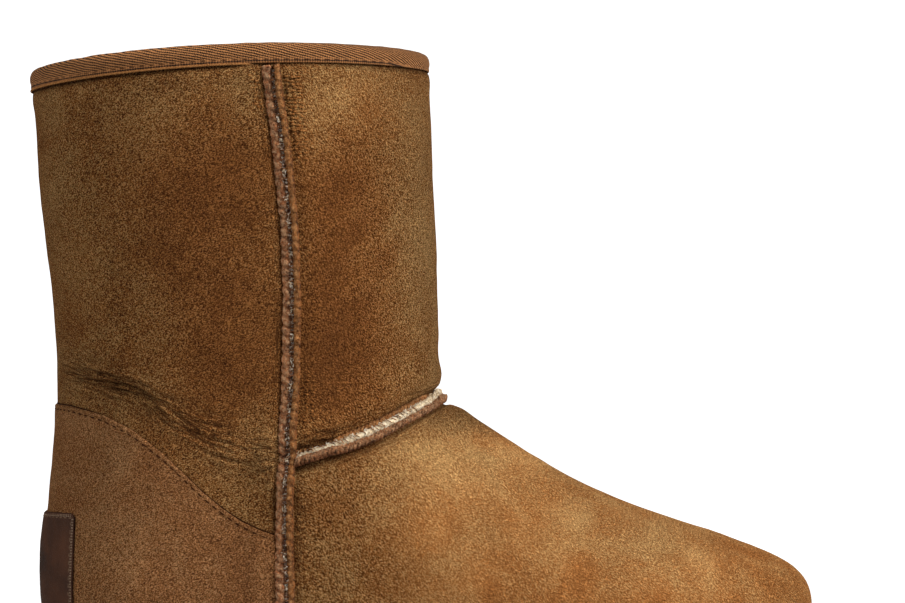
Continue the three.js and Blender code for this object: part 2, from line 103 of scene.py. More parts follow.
@contextmanager
def editing(piece: Piece) -> Iterator[None]:
    """Opens a piece in edit mode, and closes it again.

    Args:
        piece: the piece.

    Returns:
        The time in which it is open.
    """
    choose(piece)
    bpy.ops.object.mode_set(mode="EDIT")
    yield
    bpy.ops.object.mode_set(mode="OBJECT")


def rows_of(values: bpy.types.bpy_prop_collection, name: str) -> Array:
    """Vectors kept by a mesh, as rows of x, y, z.

    Args:
        values: the elements that keep them.
        name: what the elements call them.

    Returns:
        One row for each element.
    """
    flat = np.empty(len(values) * 3)
    values.foreach_get(name, flat)
    return flat.reshape(-1, 3)


def points_of(piece: Piece) -> Array:
    """The piece's vertices as rows of x, y, z."""
    return rows_of(piece.data.vertices, "co")


def normals_of(piece: Piece) -> Array:
    """The piece's vertex normals as rows of x, y, z."""
    return rows_of(piece.data.vertex_normals, "vector")


def move_points(piece: Piece, points: Array) -> None:
    """Puts the piece's vertices at new places."""
    piece.data.vertices.foreach_set("co", points.astype(np.float32).ravel())
    piece.data.update()


def add_value(piece: Piece, name: str, values: Array) -> None:
    """Gives every vertex of the piece a number that its material reads."""
    layer = piece.data.attributes.new(name, "FLOAT", "POINT")
    layer.data.foreach_set("value", values.astype(np.float32))


def add_track(piece: Piece, name: str, along: Array, across: Array) -> None:
    """Gives the piece a UV map in metres along and across a strip, from values at the vertices.

    Args:
        piece: the piece.
        name: the map's name.
        along: the distance along, for each vertex.
        across: the distance across, for each vertex.
    """
    layer = piece.data.uv_layers.new(name=name)
    corner = np.empty(len(piece.data.loops), dtype=np.int64)
    piece.data.loops.foreach_get("vertex_index", corner)
    layer.data.foreach_set("uv", np.stack([along[corner], across[corner]], axis=1).ravel())


def select_faces(piece: Piece, mask: Array) -> None:
    """Selects the faces whose vertices are all in the mask, in edit mode's face select.

    Args:
        piece: the piece.
        mask: one truth value for each vertex.
    """
    mesh = piece.data
    mesh.vertices.foreach_set("select", np.zeros(len(mesh.vertices), dtype=bool))
    mesh.edges.foreach_set("select", np.zeros(len(mesh.edges), dtype=bool))
    picked = [all(mask[v] for v in face.vertices) for face in mesh.polygons]
    mesh.polygons.foreach_set("select", np.array(picked, dtype=bool))


def refine(piece: Piece, mask: Array) -> None:
    """Cuts the faces inside a mask of vertices in four, along the curve of the surface.

    Args:
        piece: the piece to refine.
        mask: one truth value for each vertex.
    """
    select_faces(piece, mask)
    bpy.context.tool_settings.mesh_select_mode = (False, False, True)
    with editing(piece):
        bpy.ops.mesh.subdivide(number_cuts=1, smoothness=1.0)


def apply_subsurf(piece: Piece, levels: int) -> None:
    """Rounds the piece with a subdivision surface that is applied.

    Args:
        piece: the piece to round.
        levels: how many times its faces are cut in four.
    """
    choose(piece)
    modifier = piece.modifiers.new("round", "SUBSURF")
    modifier.levels = levels
    modifier.render_levels = levels
    bpy.ops.object.modifier_apply(modifier="round")


def node_copy(node: str, name: str, sharp: float | None = None) -> Piece:
    """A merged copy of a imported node, with its quads restored.

    Args:
        node: the node's name.
        name: the new piece's name.
        sharp: edges that turn more than this many degrees stay sharp when the piece is rounded.

    Returns:
        The new piece.
    """
    piece = bpy.data.objects.new(name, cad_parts[node].data.copy())
    piece.data.materials.clear()
    bpy.context.scene.collection.objects.link(piece)
    bend = math.radians(70)
    with editing(piece):
        bpy.ops.mesh.select_all(action="SELECT")
        bpy.ops.mesh.remove_doubles(threshold=2e-6)
        bpy.ops.mesh.tris_convert_to_quads(face_threshold=bend, shape_threshold=bend)
        if sharp is not None:
            bpy.ops.mesh.select_all(action="DESELECT")
            bpy.ops.mesh.select_mode(type="EDGE")
            bpy.ops.mesh.edges_select_sharp(sharpness=math.radians(sharp))
            bpy.ops.transform.edge_crease(value=1)
    return piece


def sheet_piece(name: str, columns: int, rows: int, shape: Shape) -> Piece:
    """A grid primitive bent into shape.

    Args:
        name: the piece's name.
        columns: faces along u.
        rows: faces along v.
        shape: gives the places for the grid's u and v, both from 0 to 1.

    Returns:
        The new piece, in metres.
    """
    bpy.ops.object.select_all(action="DESELECT")
    bpy.ops.mesh.primitive_grid_add(x_subdivisions=columns, y_subdivisions=rows, size=2)
    piece = bpy.context.object
    piece.name = name
    piece.data.name = name
    flat = points_of(piece)
    move_points(piece, shape((flat[:, 0] + 1) / 2, (flat[:, 1] + 1) / 2))
    return piece


def close_up(piece: Piece, merge: float = 1e-6) -> None:
    """Merges a bent sheet's meeting edges, fills its open ends and turns its faces out.

    Args:
        piece: the sheet, bent round until its edges meet.
        merge: how near to each other points are merged, in metres.
    """
    with editing(piece):
        bpy.ops.mesh.select_all(action="SELECT")
        bpy.ops.mesh.remove_doubles(threshold=merge)
        bpy.ops.mesh.select_all(action="DESELECT")
        bpy.ops.mesh.select_mode(type="EDGE")
        bpy.ops.mesh.select_non_manifold(extend=False, use_wire=False, use_multi_face=False, use_verts=False)
        bpy.ops.mesh.fill_holes(sides=0)
        bpy.ops.mesh.select_all(action="SELECT")
        bpy.ops.mesh.normals_make_consistent(inside=False)


def thicken(piece: Piece, thickness: float, axis_x: float) -> None:
    """Makes a sheet that stands round an upright axis solid, towards the axis, and turns its faces out.

    Args:
        piece: the sheet.
        thickness: of the solid, in metres.
        axis_x: where the axis stands on X.
    """
    away = (points_of(piece) - np.array([axis_x, 0, 0])) * [1, 1, 0]
    choose(piece)
    wall = piece.modifiers.new("wall", "SOLIDIFY")
    wall.thickness = thickness
    wall.offset = -1 if np.einsum("ij,ij->i", normals_of(piece), away).sum() > 0 else 1
    bpy.ops.object.modifier_apply(modifier="wall")
    with editing(piece):
        bpy.ops.mesh.select_all(action="SELECT")
        bpy.ops.mesh.normals_make_consistent(inside=False)


def search_tree(piece: Piece) -> BVHTree:
    """A tree for finding places on the piece's faces."""
    points = [tuple(p) for p in points_of(piece)]
    return BVHTree.FromPolygons(points, [tuple(f.vertices) for f in piece.data.polygons])


def ball(segments: int) -> Piece:
    """A small ball of radius 1, the model for stitches and ridges.

    Args:
        segments: how many faces it has round its axis.

    Returns:
        The ball.
    """
    bpy.ops.object.select_all(action="DESELECT")
    bpy.ops.mesh.primitive_uv_sphere_add(segments=segments, ring_count=6, radius=1)
    return bpy.context.object


def heading(turn: float) -> Vector:
    """The level direction at an angle in degrees: 0 at the toe's side, 90 on the inner side."""
    return Vector((math.cos(math.radians(turn)), math.sin(math.radians(turn)), 0))


def scatter(name: str, model: Piece, places: Array, frames: Array, scales: Array) -> Piece:
    """Many copies of one small model as a single joined mesh. The model itself is removed.

    Args:
        name: the piece's name.
        model: the small model, made round the origin in metres.
        places: one place for each copy.
        frames: for each copy its three axes as rows: the model's X, Y and Z.
        scales: for each copy its size along the three axes.

    Returns:
        The joined piece.
    """
    base = points_of(model)
    faces = [tuple(face.vertices) for face in model.data.polygons]
    spread = np.einsum("pk,nk,nkj->npj", base, scales, frames) + places[:, None, :]
    count = len(base)
    joined = [tuple(v + n * count for v in face) for n in range(len(places)) for face in faces]
    mesh = bpy.data.meshes.new(name)
    mesh.from_pydata(spread.reshape(-1, 3).tolist(), [], joined)
    mesh.update()
    piece = bpy.data.objects.new(name, mesh)
    bpy.context.scene.collection.objects.link(piece)
    bpy.data.objects.remove(model)
    add_value(piece, "copy", np.repeat(np.arange(len(places)) * GOLDEN % 1.0, count))
    return piece


def settle(piece: Piece, slot: str, material: Material, *nodes: str) -> Piece:
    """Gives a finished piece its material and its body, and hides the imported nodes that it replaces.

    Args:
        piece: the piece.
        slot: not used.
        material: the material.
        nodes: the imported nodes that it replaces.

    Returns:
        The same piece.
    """
    choose(piece)
    piece.data.materials.clear()
    piece.data.materials.append(material)
    bpy.ops.object.shade_smooth()
    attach(piece, "root")
    if nodes:
        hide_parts(*nodes)
    log.info("%s: %d vertices, %d faces", piece.name, len(piece.data.vertices), len(piece.data.polygons))
    return piece


# Numbers that vary over space


def ease(values: Array, low: float, high: float) -> Array:
    """A smooth rise from 0 at low to 1 at high."""
    share = np.clip((values - low) / (high - low), 0, 1)
    return share * share * (3 - 2 * share)


def bell(away: Array, width: float) -> Array:
    """1 where a distance is 0, fading smoothly over a width."""
    return np.exp(-((away / width) ** 2))


def unevenness(points: Array, size: float, seed: int) -> Array:
    """Smooth random values from -1 to 1 that change over a given size.

    Args:
        points: places, one per row.
        size: the distance over which the values change, in the points' units.
        seed: another seed gives another pattern.

    Returns:
        One value for each point.
    """
    table = np.random.default_rng(seed).uniform(-1, 1, (32, 32, 32))
    cell = points / size
    low = np.floor(cell).astype(int)
    t = cell - low
    t = t * t * (3 - 2 * t)
    total = np.zeros(len(points))
    for corner in np.ndindex(2, 2, 2):
        weight = np.prod(np.where(np.array(corner) == 1, t, 1 - t), axis=1)
        index = (low + corner) % 32
        total += weight * table[index[:, 0], index[:, 1], index[:, 2]]
    return total


def tape_foot(x: Array) -> Array:
    """The height of the tape's lower edge over places on X.

    Args:
        x: the places, in metres.

    Returns:
        One height for each place.
    """
    points = points_of(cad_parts["collar_binding"])
    steps = np.linspace(points[:, 0].min(), points[:, 0].max(), 18)
    low = [points[np.abs(points[:, 0] - step) < 6 * MM, 2].min() for step in steps]
    return np.interp(x, steps, low)


def heel_mm(points: Array) -> Array:
    """Places as millimetres forward of the heel's back, sideways and above the floor."""
    return (points - np.array([HEEL_BACK, 0, 0])) / MM


@dataclass(frozen=True)
class Camera:
    """The camera that took the picture, in metres."""

    place: tuple[float, float, float] = (0.010344, -1.4, 0.115)
    rise: float = math.atan(0.0224 / 1.4)
    lens: float = 161.5
    sensor: float = 36
    side_wall: float = -0.044

    def build(self) -> None:
        """Makes the camera and gives it to the scene."""
        data = bpy.data.cameras.new("camera")
        data.lens = self.lens
        data.sensor_width = self.sensor
        data.clip_start = 0.05
        camera = bpy.data.objects.new("camera", data)
        camera.location = self.place
        camera.rotation_euler = (math.pi / 2 + self.rise, 0, 0)
        bpy.context.scene.collection.objects.link(camera)
        bpy.context.scene.camera = camera

    def side_view(self, points: Array) -> Array:
        """Places as seen from the picture's side, in millimetres on the plane of the outer wall.

        Args:
            points: places in metres, one per row.

        Returns:
            Distance forward of the heel and height above the floor, one row for each point.
        """
        zoom = (self.side_wall - self.place[1]) / (points[:, 1] - self.place[1])
        along = self.place[0] + (points[:, 0] - self.place[0]) * zoom - HEEL_BACK
        high = self.place[2] + (points[:, 2] - self.place[2]) * zoom
        return np.stack([along, high], axis=1) / MM


CAMERA = Camera()


@dataclass(frozen=True)
class Fold:
    """A fold pressed into the hide, in millimetres.

    points: along and height. depth and width: of the trough. ridge: height of the swelling on each side,
    as a share of the depth. ends: share of the length over which it fades out.
    """

    points: tuple[tuple[float, float], ...]
    depth: float
    width: float
    ridge: float = 0.4
    ends: float = 0.3

    def across(self, seen: Array) -> tuple[Array, Array]:
        """Where points lie along the fold's line, and how far above it they are.

        Args:
            seen: along and height of each point.

        Returns:
            Distance along the line, and distance across it, negative below.
        """
        path = np.array(self.points)
        runs = np.linalg.norm(np.diff(path, axis=0), axis=1)
        start = np.concatenate([[0], np.cumsum(runs)])
        best = np.full(len(seen), 1e9)
        place = np.zeros(len(seen))
        above = np.zeros(len(seen))
        for k, run in enumerate(runs):
            line = (path[k + 1] - path[k]) / run
            t = np.clip((seen - path[k]) @ line, 0, run)
            away = seen - (path[k] + t[:, None] * line)
            apart = np.linalg.norm(away, axis=1)
            nearer = apart < best
            best = np.where(nearer, apart, best)
            place = np.where(nearer, start[k] + t, place)
            above = np.where(nearer, np.sign(line[0] * away[:, 1] - line[1] * away[:, 0]), above)
        return place, best * above

    def press(self, seen: Array) -> tuple[Array, Array]:
        """The fold's effect on each point.

        Args:
            seen: along and height of each point.

        Returns:
            The movement along the normal in millimetres, and how deep in the trough the point lies, 0 to 1.
        """
        place, apart = self.across(seen)
        share = place / np.linalg.norm(np.diff(np.array(self.points), axis=0), axis=1).sum()
        fade = ease(share, -0.02, self.ends) * ease(1 - share, -0.02, self.ends)
        trough = bell(apart, self.width) * fade
        swell = bell(np.abs(apart) - 2.1 * self.width, 1.1 * self.width) * fade
        return self.depth * (self.ridge * swell - trough), trough


# Folds of the outer side, from the picture: the ankle's creases, the wrinkles that fan out of them,
# the folds above and below the instep seam, and the soft waves of the shaft's front.
ANKLE_FOLDS = (
    Fold(((9, 115.8), (13, 114.7), (19, 113.8), (28, 111.6), (37, 109.5), (44, 104.1)), 0.7, 0.5, 0.5),
    Fold(((11, 113.6), (15, 112.2), (21, 110.2), (31, 109.2), (38, 106), (45, 102.1), (49, 98.5)),
         0.95, 0.6, 0.5),
    Fold(((14, 111.6), (18, 110.5), (31, 107), (40, 103.5), (47, 96.6), (53, 94.4)), 0.8, 0.55, 0.5),
    Fold(((37, 107.2), (45, 104.5), (52, 103.1), (60, 103.9)), 0.3, 0.6, 0.5),
    Fold(((16, 109), (24, 107), (32, 105), (40, 101), (46, 96.5)), 1.05, 4.4, 0.25, 0.4),
    Fold(((46, 99), (52, 96.8), (59, 95.1), (66, 94.5), (75, 95.8)), 0.15, 0.6, 0.6, 0.4),
    Fold(((47, 96), (51, 94.1), (57, 91.8), (63, 89.8), (71, 87.2)), 0.34, 0.65, 0.6, 0.4),
    Fold(((42, 98.3), (47, 95), (54, 91.3), (60, 89.4), (67, 86.8)), 0.32, 0.65, 0.6, 0.4),
    Fold(((55, 99.5), (62, 98.2), (70, 98.8), (77, 101)), 0.15, 0.7, 0.6, 0.4),
    Fold(((53, 88.2), (60, 85.6), (68, 83), (75, 82)), 0.35, 0.7, 0.6, 0.4),
)
# The line that the ankle's fine creases follow
CREASE_FAN = Fold(
    ((3, 117), (20, 111.5), (33, 107.5), (44, 101.5), (52, 96), (62, 91.5), (74, 88), (86, 86)), 0, 1
)
INSTEP_FOLDS = (
    Fold(((89, 94.8), (94, 93.1), (101, 92.7), (108, 95.1), (113, 97.2)), 0.6, 0.8, 0.5),
    Fold(((89, 91.6), (97, 92.1), (103, 92.4)), 0.4, 0.6, 0.5),
    Fold(((90, 89.6), (96, 90.1), (100, 91.3)), 0.4, 0.6, 0.5),
    Fold(((88, 79.6), (96, 81.3), (105, 85.4), (113, 88.6), (122, 93)), 0.9, 1.0, 0.4),
    Fold(((92, 77.4), (103, 82.2), (111, 86.2), (123, 91.5), (134, 96.6)), 0.6, 1.4, 0.5, 0.4),
    Fold(((90, 73), (102, 78.5), (114, 84), (124, 88.5)), 0.35, 2.2, 0.5, 0.4),
)
SHAFT_FOLDS = (
    Fold(((92, 112.8), (106, 114), (122, 116.6)), 0.6, 4.5, 0.7, 0.4),
    Fold(((108, 112), (118, 114.5), (131, 119.6)), 0.5, 3.0, 0.7, 0.4),
    Fold(((104, 153), (111, 158.6), (117, 163)), 0.7, 3.4, 0.8, 0.5),
    Fold(((97, 140), (103, 144.6), (112, 150)), 0.7, 3.4, 0.8, 0.5),
    Fold(((95, 117), (100, 121), (108, 128)), 0.6, 4.0, 0.8, 0.5),
)
OUTER_FOLDS = ANKLE_FOLDS + INSTEP_FOLDS + SHAFT_FOLDS
INNER_FOLDS = (
    Fold(((12, 113), (22, 110), (32, 106), (42, 101.5), (49, 96)), 1.6, 1.5, 0.35, 0.35),
    Fold(((16, 117), (27, 115.5), (38, 110), (47, 104)), 0.8, 1.1, 0.5, 0.4),
    Fold(((30, 103), (40, 97), (52, 92), (66, 88)), 0.6, 1.2, 0.5, 0.4),
    Fold(((45, 101), (56, 98), (68, 98), (78, 100)), 0.4, 1.1, 0.5, 0.4),
    Fold(((90, 93), (99, 93.5), (110, 97)), 0.8, 0.9, 0.45),
    Fold(((89, 79), (101, 83), (113, 89), (125, 94)), 0.8, 1.1, 0.4),
    Fold(((93, 114), (108, 116), (125, 120)), 0.6, 4.5, 0.7, 0.4),
    Fold(((98, 142), (107, 149), (116, 155)), 0.6, 3.6, 0.8, 0.5),
)
TOE_FOLDS = (
    Fold(((160, 74), (168, 62), (172, 50)), 0.5, 3.2, 0.7, 0.45),
    Fold(((178, 66), (184, 55), (186, 44)), 0.45, 3.4, 0.7, 0.45),
    Fold(((148, 76), (152, 60), (150, 46)), 0.4, 3.0, 0.7, 0.45),
)


@dataclass(frozen=True)
class Tone:
    """A patch of the hide that is lighter or darker, in millimetres of the side view.

    along and high: its middle. length and breadth: how far it reaches, with its length turned by turn
    degrees. amount: how much it lightens.
    """

    along: float
    high: float
    length: float
    breadth: float
    turn: float
    amount: float

    def at(self, seen: Array) -> Array:
        """The tone that the patch adds at each point.

        Args:
            seen: along and height of each point.

        Returns:
            One value for each point.
        """
        away = seen - np.array([self.along, self.high])
        c, s = math.cos(math.radians(self.turn)), math.sin(math.radians(self.turn))
        far = ((away[:, 0] * c + away[:, 1] * s) / self.length) ** 2
        far += ((away[:, 1] * c - away[:, 0] * s) / self.breadth) ** 2
        return self.amount * np.exp(-far)


# Partly the nap's own tone, partly painted light: lighter on the lit vamp and front edge, darker in the
# ankle's hollow
TONES_AND_PAINTED_LIGHT = (
    Tone(28, 204, 26, 8, 0, 0.1),
    Tone(68, 206, 12, 9, 0, 0.15),
    Tone(62, 150, 26, 48, 0, -0.44),
    Tone(65, 184, 15, 20, 0, -0.34),
    Tone(24, 192, 16, 14, 0, -0.04),
    Tone(26, 168, 24, 34, 0, 0.1),
    Tone(66, 112, 14, 16, 0, -0.3),
    Tone(30, 107, 16, 6, -20, 0.12),
    Tone(66, 84, 20, 14, -20, 0.08),
    Tone(104, 140, 13, 40, 0, -0.66),
    Tone(105, 170, 11, 12, 0, -0.3),
    Tone(98, 128, 9, 12, 0, -0.2),
    Tone(100, 112, 14, 16, 0, -0.35),
    Tone(106, 166, 9, 4, 45, 0.35),
    Tone(108, 152, 10, 4, 45, 0.4),
    Tone(105, 138, 10, 4, 45, 0.38),
    Tone(108, 205, 22, 12, 0, 0.2),
    Tone(130, 160, 44, 8, 90, 0.32),
    Tone(124, 113, 12, 9, 15, 0.14),
    Tone(128, 76, 24, 16, -25, 0.38),
    Tone(160, 84, 40, 12, -32, 0.22),
    Tone(196, 62, 34, 16, -25, 0.3),
    Tone(98, 66, 13, 12, 10, -0.24),
    Tone(17, 117, 8, 5, 0, 0.2),
    Tone(14, 106, 4, 6, 0, 0.15),
)


# Node graphs


def tint(red: int, green: int, blue: int) -> Colour:
    """A colour given as screen values, as the renderer's own linear values."""
    channels = (red, green, blue)
    return tuple(((c / 255 + 0.055) / 1.055) ** 2.4 if c > 10 else c / 3294.6 for c in channels) + (1,)


class Graph:
    """A shader tree under construction."""

    def __init__(self, tree: bpy.types.NodeTree) -> None:
        """Starts on an empty tree."""
        self.tree = tree
        tree.nodes.clear()

    def node(self, kind: str, settings: dict | None = None, **inputs: object) -> bpy.types.Node:
        """Adds a node.

        Args:
            kind: the node's type, without the leading ShaderNode.
            settings: properties of the node.
            inputs: values or sockets for its inputs, with spaces in their names written as underscores.

        Returns:
            The node.
        """
        made = self.tree.nodes.new(kind if kind.startswith("NodeGroup") else "ShaderNode" + kind)
        for name, value in (settings or {}).items():
            setattr(made, name, value)
        for name, value in inputs.items():
            self.give(made.inputs[name.replace("_", " ")], value)
        return made

    def give(self, socket: Socket, value: object) -> None:
        """Links a socket to an input, or sets the input's own value.

        Args:
            socket: the input.
            value: the socket or the value that it gets.
        """
        if isinstance(value, Socket):
            self.tree.links.new(value, socket)
        else:
            socket.default_value = value

    def math(self, operation: str, *values: object) -> Socket:
        """A sum, product or other reckoning of numbers.

        Args:
            operation: which one.
            values: numbers or sockets.

        Returns:
            The result.
        """
        made = self.node("Math", {"operation": operation})
        for socket, value in zip(made.inputs, values):
            self.give(socket, value)
        return made.outputs[0]

    def plus(self, first: object, second: object) -> Socket:
        """The sum of two numbers."""
        return self.math("ADD", first, second)

    def minus(self, first: object, second: object) -> Socket:
        """The difference of two numbers."""
        return self.math("SUBTRACT", first, second)

    def times(self, first: object, second: object, more: object = None) -> Socket:
        """The product of two numbers, with a third one added where it is given."""
        values = [value for value in (first, second, more) if value is not None]
        return self.math("MULTIPLY" if more is None else "MULTIPLY_ADD", *values)

    def ridge(self, value: object, width: float, low: float = 0, high: float = 1) -> Socket:
        """How far a value lies from one half, moved from 0 and a width to low and high."""
        return self.span(self.math("ABSOLUTE", self.minus(value, 0.5)), 0.0, width, low, high)

    def blend(self, share: object, first: object, second: object) -> Socket:
        """A mix of two colours or vectors.

        Args:
            share: how much of the second.
            first: the first.
            second: the second.

        Returns:
            The mix.
        """
        made = self.node("Mix", {"data_type": "RGBA", "clamp_factor": True})
        for index, value in ((0, share), (6, first), (7, second)):
            self.give(made.inputs[index], value)
        return made.outputs[2]

    def span(self, value: object, low: float, high: float, to_low: float = 0, to_high: float = 1) -> Socket:
        """A value moved from one range to another, kept inside it.

        Args:
            value: the value.
            low: the start of its range.
            high: the end of its range.
            to_low: what low becomes.
            to_high: what high becomes.

        Returns:
            The new value.
        """
        made = self.node("MapRange", Value=value, From_Min=low, From_Max=high, To_Min=to_low, To_Max=to_high)
        return made.outputs[0]

    def noise(
        self, where: object, scale: float, detail: float = 3, rough: float = 0.55, warp: float = 0
    ) -> Socket:
        """The value of a noise pattern.

        Args:
            where: the place.
            scale: how fine it is.
            detail: how many finer layers it has.
            rough: how strong those are.
            warp: how twisted it is.

        Returns:
            The value, about 0 to 1.
        """
        values = {"Scale": scale, "Detail": detail, "Roughness": rough, "Distortion": warp}
        return self.node("TexNoise", Vector=where, **values).outputs[0]

    def value_of(self, name: str) -> Socket:
        """A number kept at the vertices."""
        return self.node("Attribute", {"attribute_name": name}).outputs["Fac"]

    def turned(
        self, where: object, turn: tuple[float, float, float], scale: tuple[float, float, float]
    ) -> Socket:
        """Coordinates turned in degrees and stretched.

        Args:
            where: the coordinates.
            turn: the turn round each axis.
            scale: the stretch along each axis.

        Returns:
            The new coordinates.
        """
        turn = tuple(math.radians(angle) for angle in turn)
        made = self.node("Mapping", {"vector_type": "TEXTURE"}, Vector=where, Rotation=turn, Scale=scale)
        return made.outputs[0]


def group_of(name: str, inputs: dict[str, str], outputs: dict[str, str]) -> tuple[bpy.types.NodeTree, Graph]:
    """An empty node group.

    Args:
        name: the group's name.
        inputs: names and kinds of its inputs, Float, Vector or Color.
        outputs: the same for its outputs.

    Returns:
        The group, and a graph to build in it.
    """
    tree = bpy.data.node_groups.new(name, "ShaderNodeTree")
    for sockets, way in ((inputs, "INPUT"), (outputs, "OUTPUT")):
        for label, kind in sockets.items():
            tree.interface.new_socket(label, in_out=way, socket_type="NodeSocket" + kind)
    return tree, Graph(tree)


def suede_group() -> bpy.types.NodeTree:
    """The skin side of suede: fine pitting and short wrinkles that run slantwise, and the nap's mottling.

    Returns:
        A group from a place, the wrinkles' coarseness, which panel it is and where creases run, to a
        height, the mottling with the grain's painted relief shade, and painted shade of pitting and creases.
    """
    tree, g = group_of(
        "suede_skin",
        {"Place": "Vector", "Coarse": "Float", "Front": "Float", "Flow": "Vector", "Creased": "Float"},
        {"Height": "Float", "MottleAndGrainShade": "Float", "PitShade": "Float"},
    )
    place, coarse, front, flow, creased = g.node("NodeGroupInput").outputs[:5]
    behind = g.turned(place, (0, -30, 0), (1.3, 0.9, 0.85))
    ahead = g.turned(place, (0, 42, 0), (1.7, 0.85, 0.78))
    where = g.blend(g.math("GREATER_THAN", front, 0.5), behind, ahead)
    crest = g.ridge(g.noise(where, 1520, 1, 0.5, 0.5), 0.12)
    grain = g.noise(where, 2350, 1, 0.5)
    swell = g.ridge(g.noise(where, 620, 2, 0.55, 0.6), 0.11)
    fine = g.plus(g.times(crest, 0.9), g.times(grain, 1.5))
    height = g.times(fine, g.times(coarse, 1.5, 0.5))
    height = g.plus(height, g.times(swell, g.times(coarse, 0.4)))
    strip = g.node("Mapping", Vector=flow, Scale=(75, 800, 1))
    line = g.noise(strip.outputs[0], 1, 1.5, 0.5, 0.35)
    crease = g.times(g.ridge(line, 0.07, 1, 0), creased)
    height = g.minus(height, g.times(crease, 1.9))
    # Painted shade in the pitting and along the creases
    grain_pit_shade = g.times(g.span(crest, 0.7, 0.1), 0.55, g.times(g.span(grain, 0.55, 0.4), 0.6))
    pit_shade = g.math("MAXIMUM", g.times(grain_pit_shade, g.times(coarse, 0.55, 0.4)), crease)
    nap = g.noise(place, 42, 4, 0.6, 0.8)
    # Painted relief shade: lighter where the grain stands up, darker where it sinks; the nap's mottling is
    # its own
    grain_relief_shade = g.times(g.minus(grain, 0.5), g.times(coarse, 1.0, 0.45))
    mottle_and_grain_shade = g.plus(g.times(nap, 0.45, 0.275), grain_relief_shade)
    end = g.node("NodeGroupOutput")
    for socket, value in zip(end.inputs, (height, mottle_and_grain_shade, pit_shade)):
        g.give(socket, value)
    return tree


def wool_group() -> bpy.types.NodeTree:
    """Curly wool: tight curls, with painted shade in the hollows between them.

    Returns:
        A group from a place to a height and a shade.
    """
    tree, g = group_of("wool_curls", {"Place": "Vector"}, {"Height": "Float", "Shade": "Float"})
    place = g.node("NodeGroupInput").outputs[0]
    warp = g.node("TexNoise", Vector=place, Scale=260, Detail=2)
    bent = g.node("VectorMath", {"operation": "MULTIPLY_ADD"})
    g.give(bent.inputs[0], warp.outputs["Color"])
    g.give(bent.inputs[1], (0.006, 0.006, 0.006))
    g.give(bent.inputs[2], place)
    curl = g.node("TexVoronoi", {"feature": "SMOOTH_F1"}, Vector=bent.outputs[0], Scale=330)
    strand = g.noise(bent.outputs[0], 1400, 3, 0.7, 1.2)
    lump = g.span(curl.outputs["Distance"], 0.05, 0.8, 1, 0)
    height = g.plus(lump, g.times(strand, 0.5))
    clump = g.noise(place, 90, 3, 0.6, 0.5)
    shade = g.plus(g.times(lump, 0.6), g.times(clump, 0.4))
    end = g.node("NodeGroupOutput")
    g.give(end.inputs[0], height)
    g.give(end.inputs[1], shade)
    return tree


class Groups:
    """The shared node groups, made once."""

    def __init__(self) -> None:
        """Builds every group."""
        self.suede = suede_group()
        self.wool = wool_group()


def start_material(name: str) -> tuple[Material, Graph, bpy.types.Node, Socket]:
    """A material with a Principled shader and object coordinates.

    Args:
        name: the material's name.

    Returns:
        The material, its graph, the shader node and the coordinates.
    """
    material = bpy.data.materials.new(name)
    material.use_nodes = True
    graph = Graph(material.node_tree)
    shader = graph.node("BsdfPrincipled")
    output = graph.node("OutputMaterial")
    graph.give(output.inputs["Surface"], shader.outputs[0])
    place = graph.node("TexCoord").outputs["Object"]
    return material, graph, shader, place


def bumped(graph: Graph, shader: bpy.types.Node, height: object, depth: float) -> None:
    """Lets a height, worth a depth in metres, turn the shader's normal."""
    graph.give(shader.inputs["Normal"], graph.node("Bump", Height=height, Distance=depth).outputs[0])


def coat(
    graph: Graph,
    shader: bpy.types.Node,
    colour: object,
    roughness: object,
    specular: float,
    sheen: float = 0,
) -> None:
    """Gives a shader the values of its surface.

    Args:
        graph: the shader's graph.
        shader: the shader node.
        colour: its colour.
        roughness: its roughness.
        specular: its specular level.
        sheen: the weight of its sheen.
    """
    names = ("Base Color", "Roughness", "Specular IOR Level", "Sheen Weight")
    for name, value in zip(names, (colour, roughness, specular, sheen)):
        graph.give(shader.inputs[name], value)


@dataclass(frozen=True)
class SuedeFinish:
    """Napped suede: uneven tone that is partly painted light, and painted shade in folds, pitting and by
    seams.
    """

    name: str
    dark: Colour
    middle: Colour
    light: Colour
    # fold: the colour of the painted shade in folds, creases, pitting, beside seams and along edges
    fold: Colour
    depth: float = 0.0013
    pit_shade: float = 0.95
    sheen: float = 0.01

    def material(self, groups: Groups) -> Material:
        """Builds the material from the shared suede pattern.

        Args:
            groups: the shared node groups.

        Returns:
            The material.
        """
        material, g, shader, place = start_material(self.name)
        skin = g.node("Group", {"node_tree": groups.suede})
        g.give(skin.inputs["Place"], place)
        g.give(skin.inputs["Coarse"], g.value_of("coarse"))
        g.give(skin.inputs["Front"], g.value_of("front"))
        g.give(skin.inputs["Flow"], g.node("UVMap", {"uv_map": "flow"}).outputs[0])
        g.give(skin.inputs["Creased"], g.value_of("creased"))
        # The nap's mottling with the grain's painted relief shade, and tone patches partly of painted light
        # and shade
        mottle_and_grain_shade = g.span(skin.outputs["MottleAndGrainShade"], 0.3, 0.7, -0.72, 0.72)
        tone = g.plus(g.times(mottle_and_grain_shade, 0.8), g.value_of("tone"))
        low = g.blend(g.span(tone, -0.6, 0.0), self.dark, self.middle)
        colour = g.blend(g.span(tone, 0.0, 0.6), low, self.light)
        # Painted shade in folds, beside seams, under the tape, over the counter's edge, in the pitting and
        # in creases
        colour = g.blend(g.times(g.value_of("fold"), 0.8), colour, self.fold)
        colour = g.blend(g.times(skin.outputs["PitShade"], self.pit_shade), colour, self.fold)
        coat(g, shader, colour, g.span(skin.outputs["MottleAndGrainShade"], 0.3, 0.7, 0.97, 0.82), 0.04, self.sheen)
        shader.inputs["Sheen Roughness"].default_value = 0.45
        shader.inputs["Sheen Tint"].default_value = self.light
        bumped(g, shader, skin.outputs["Height"], self.depth)
        return material


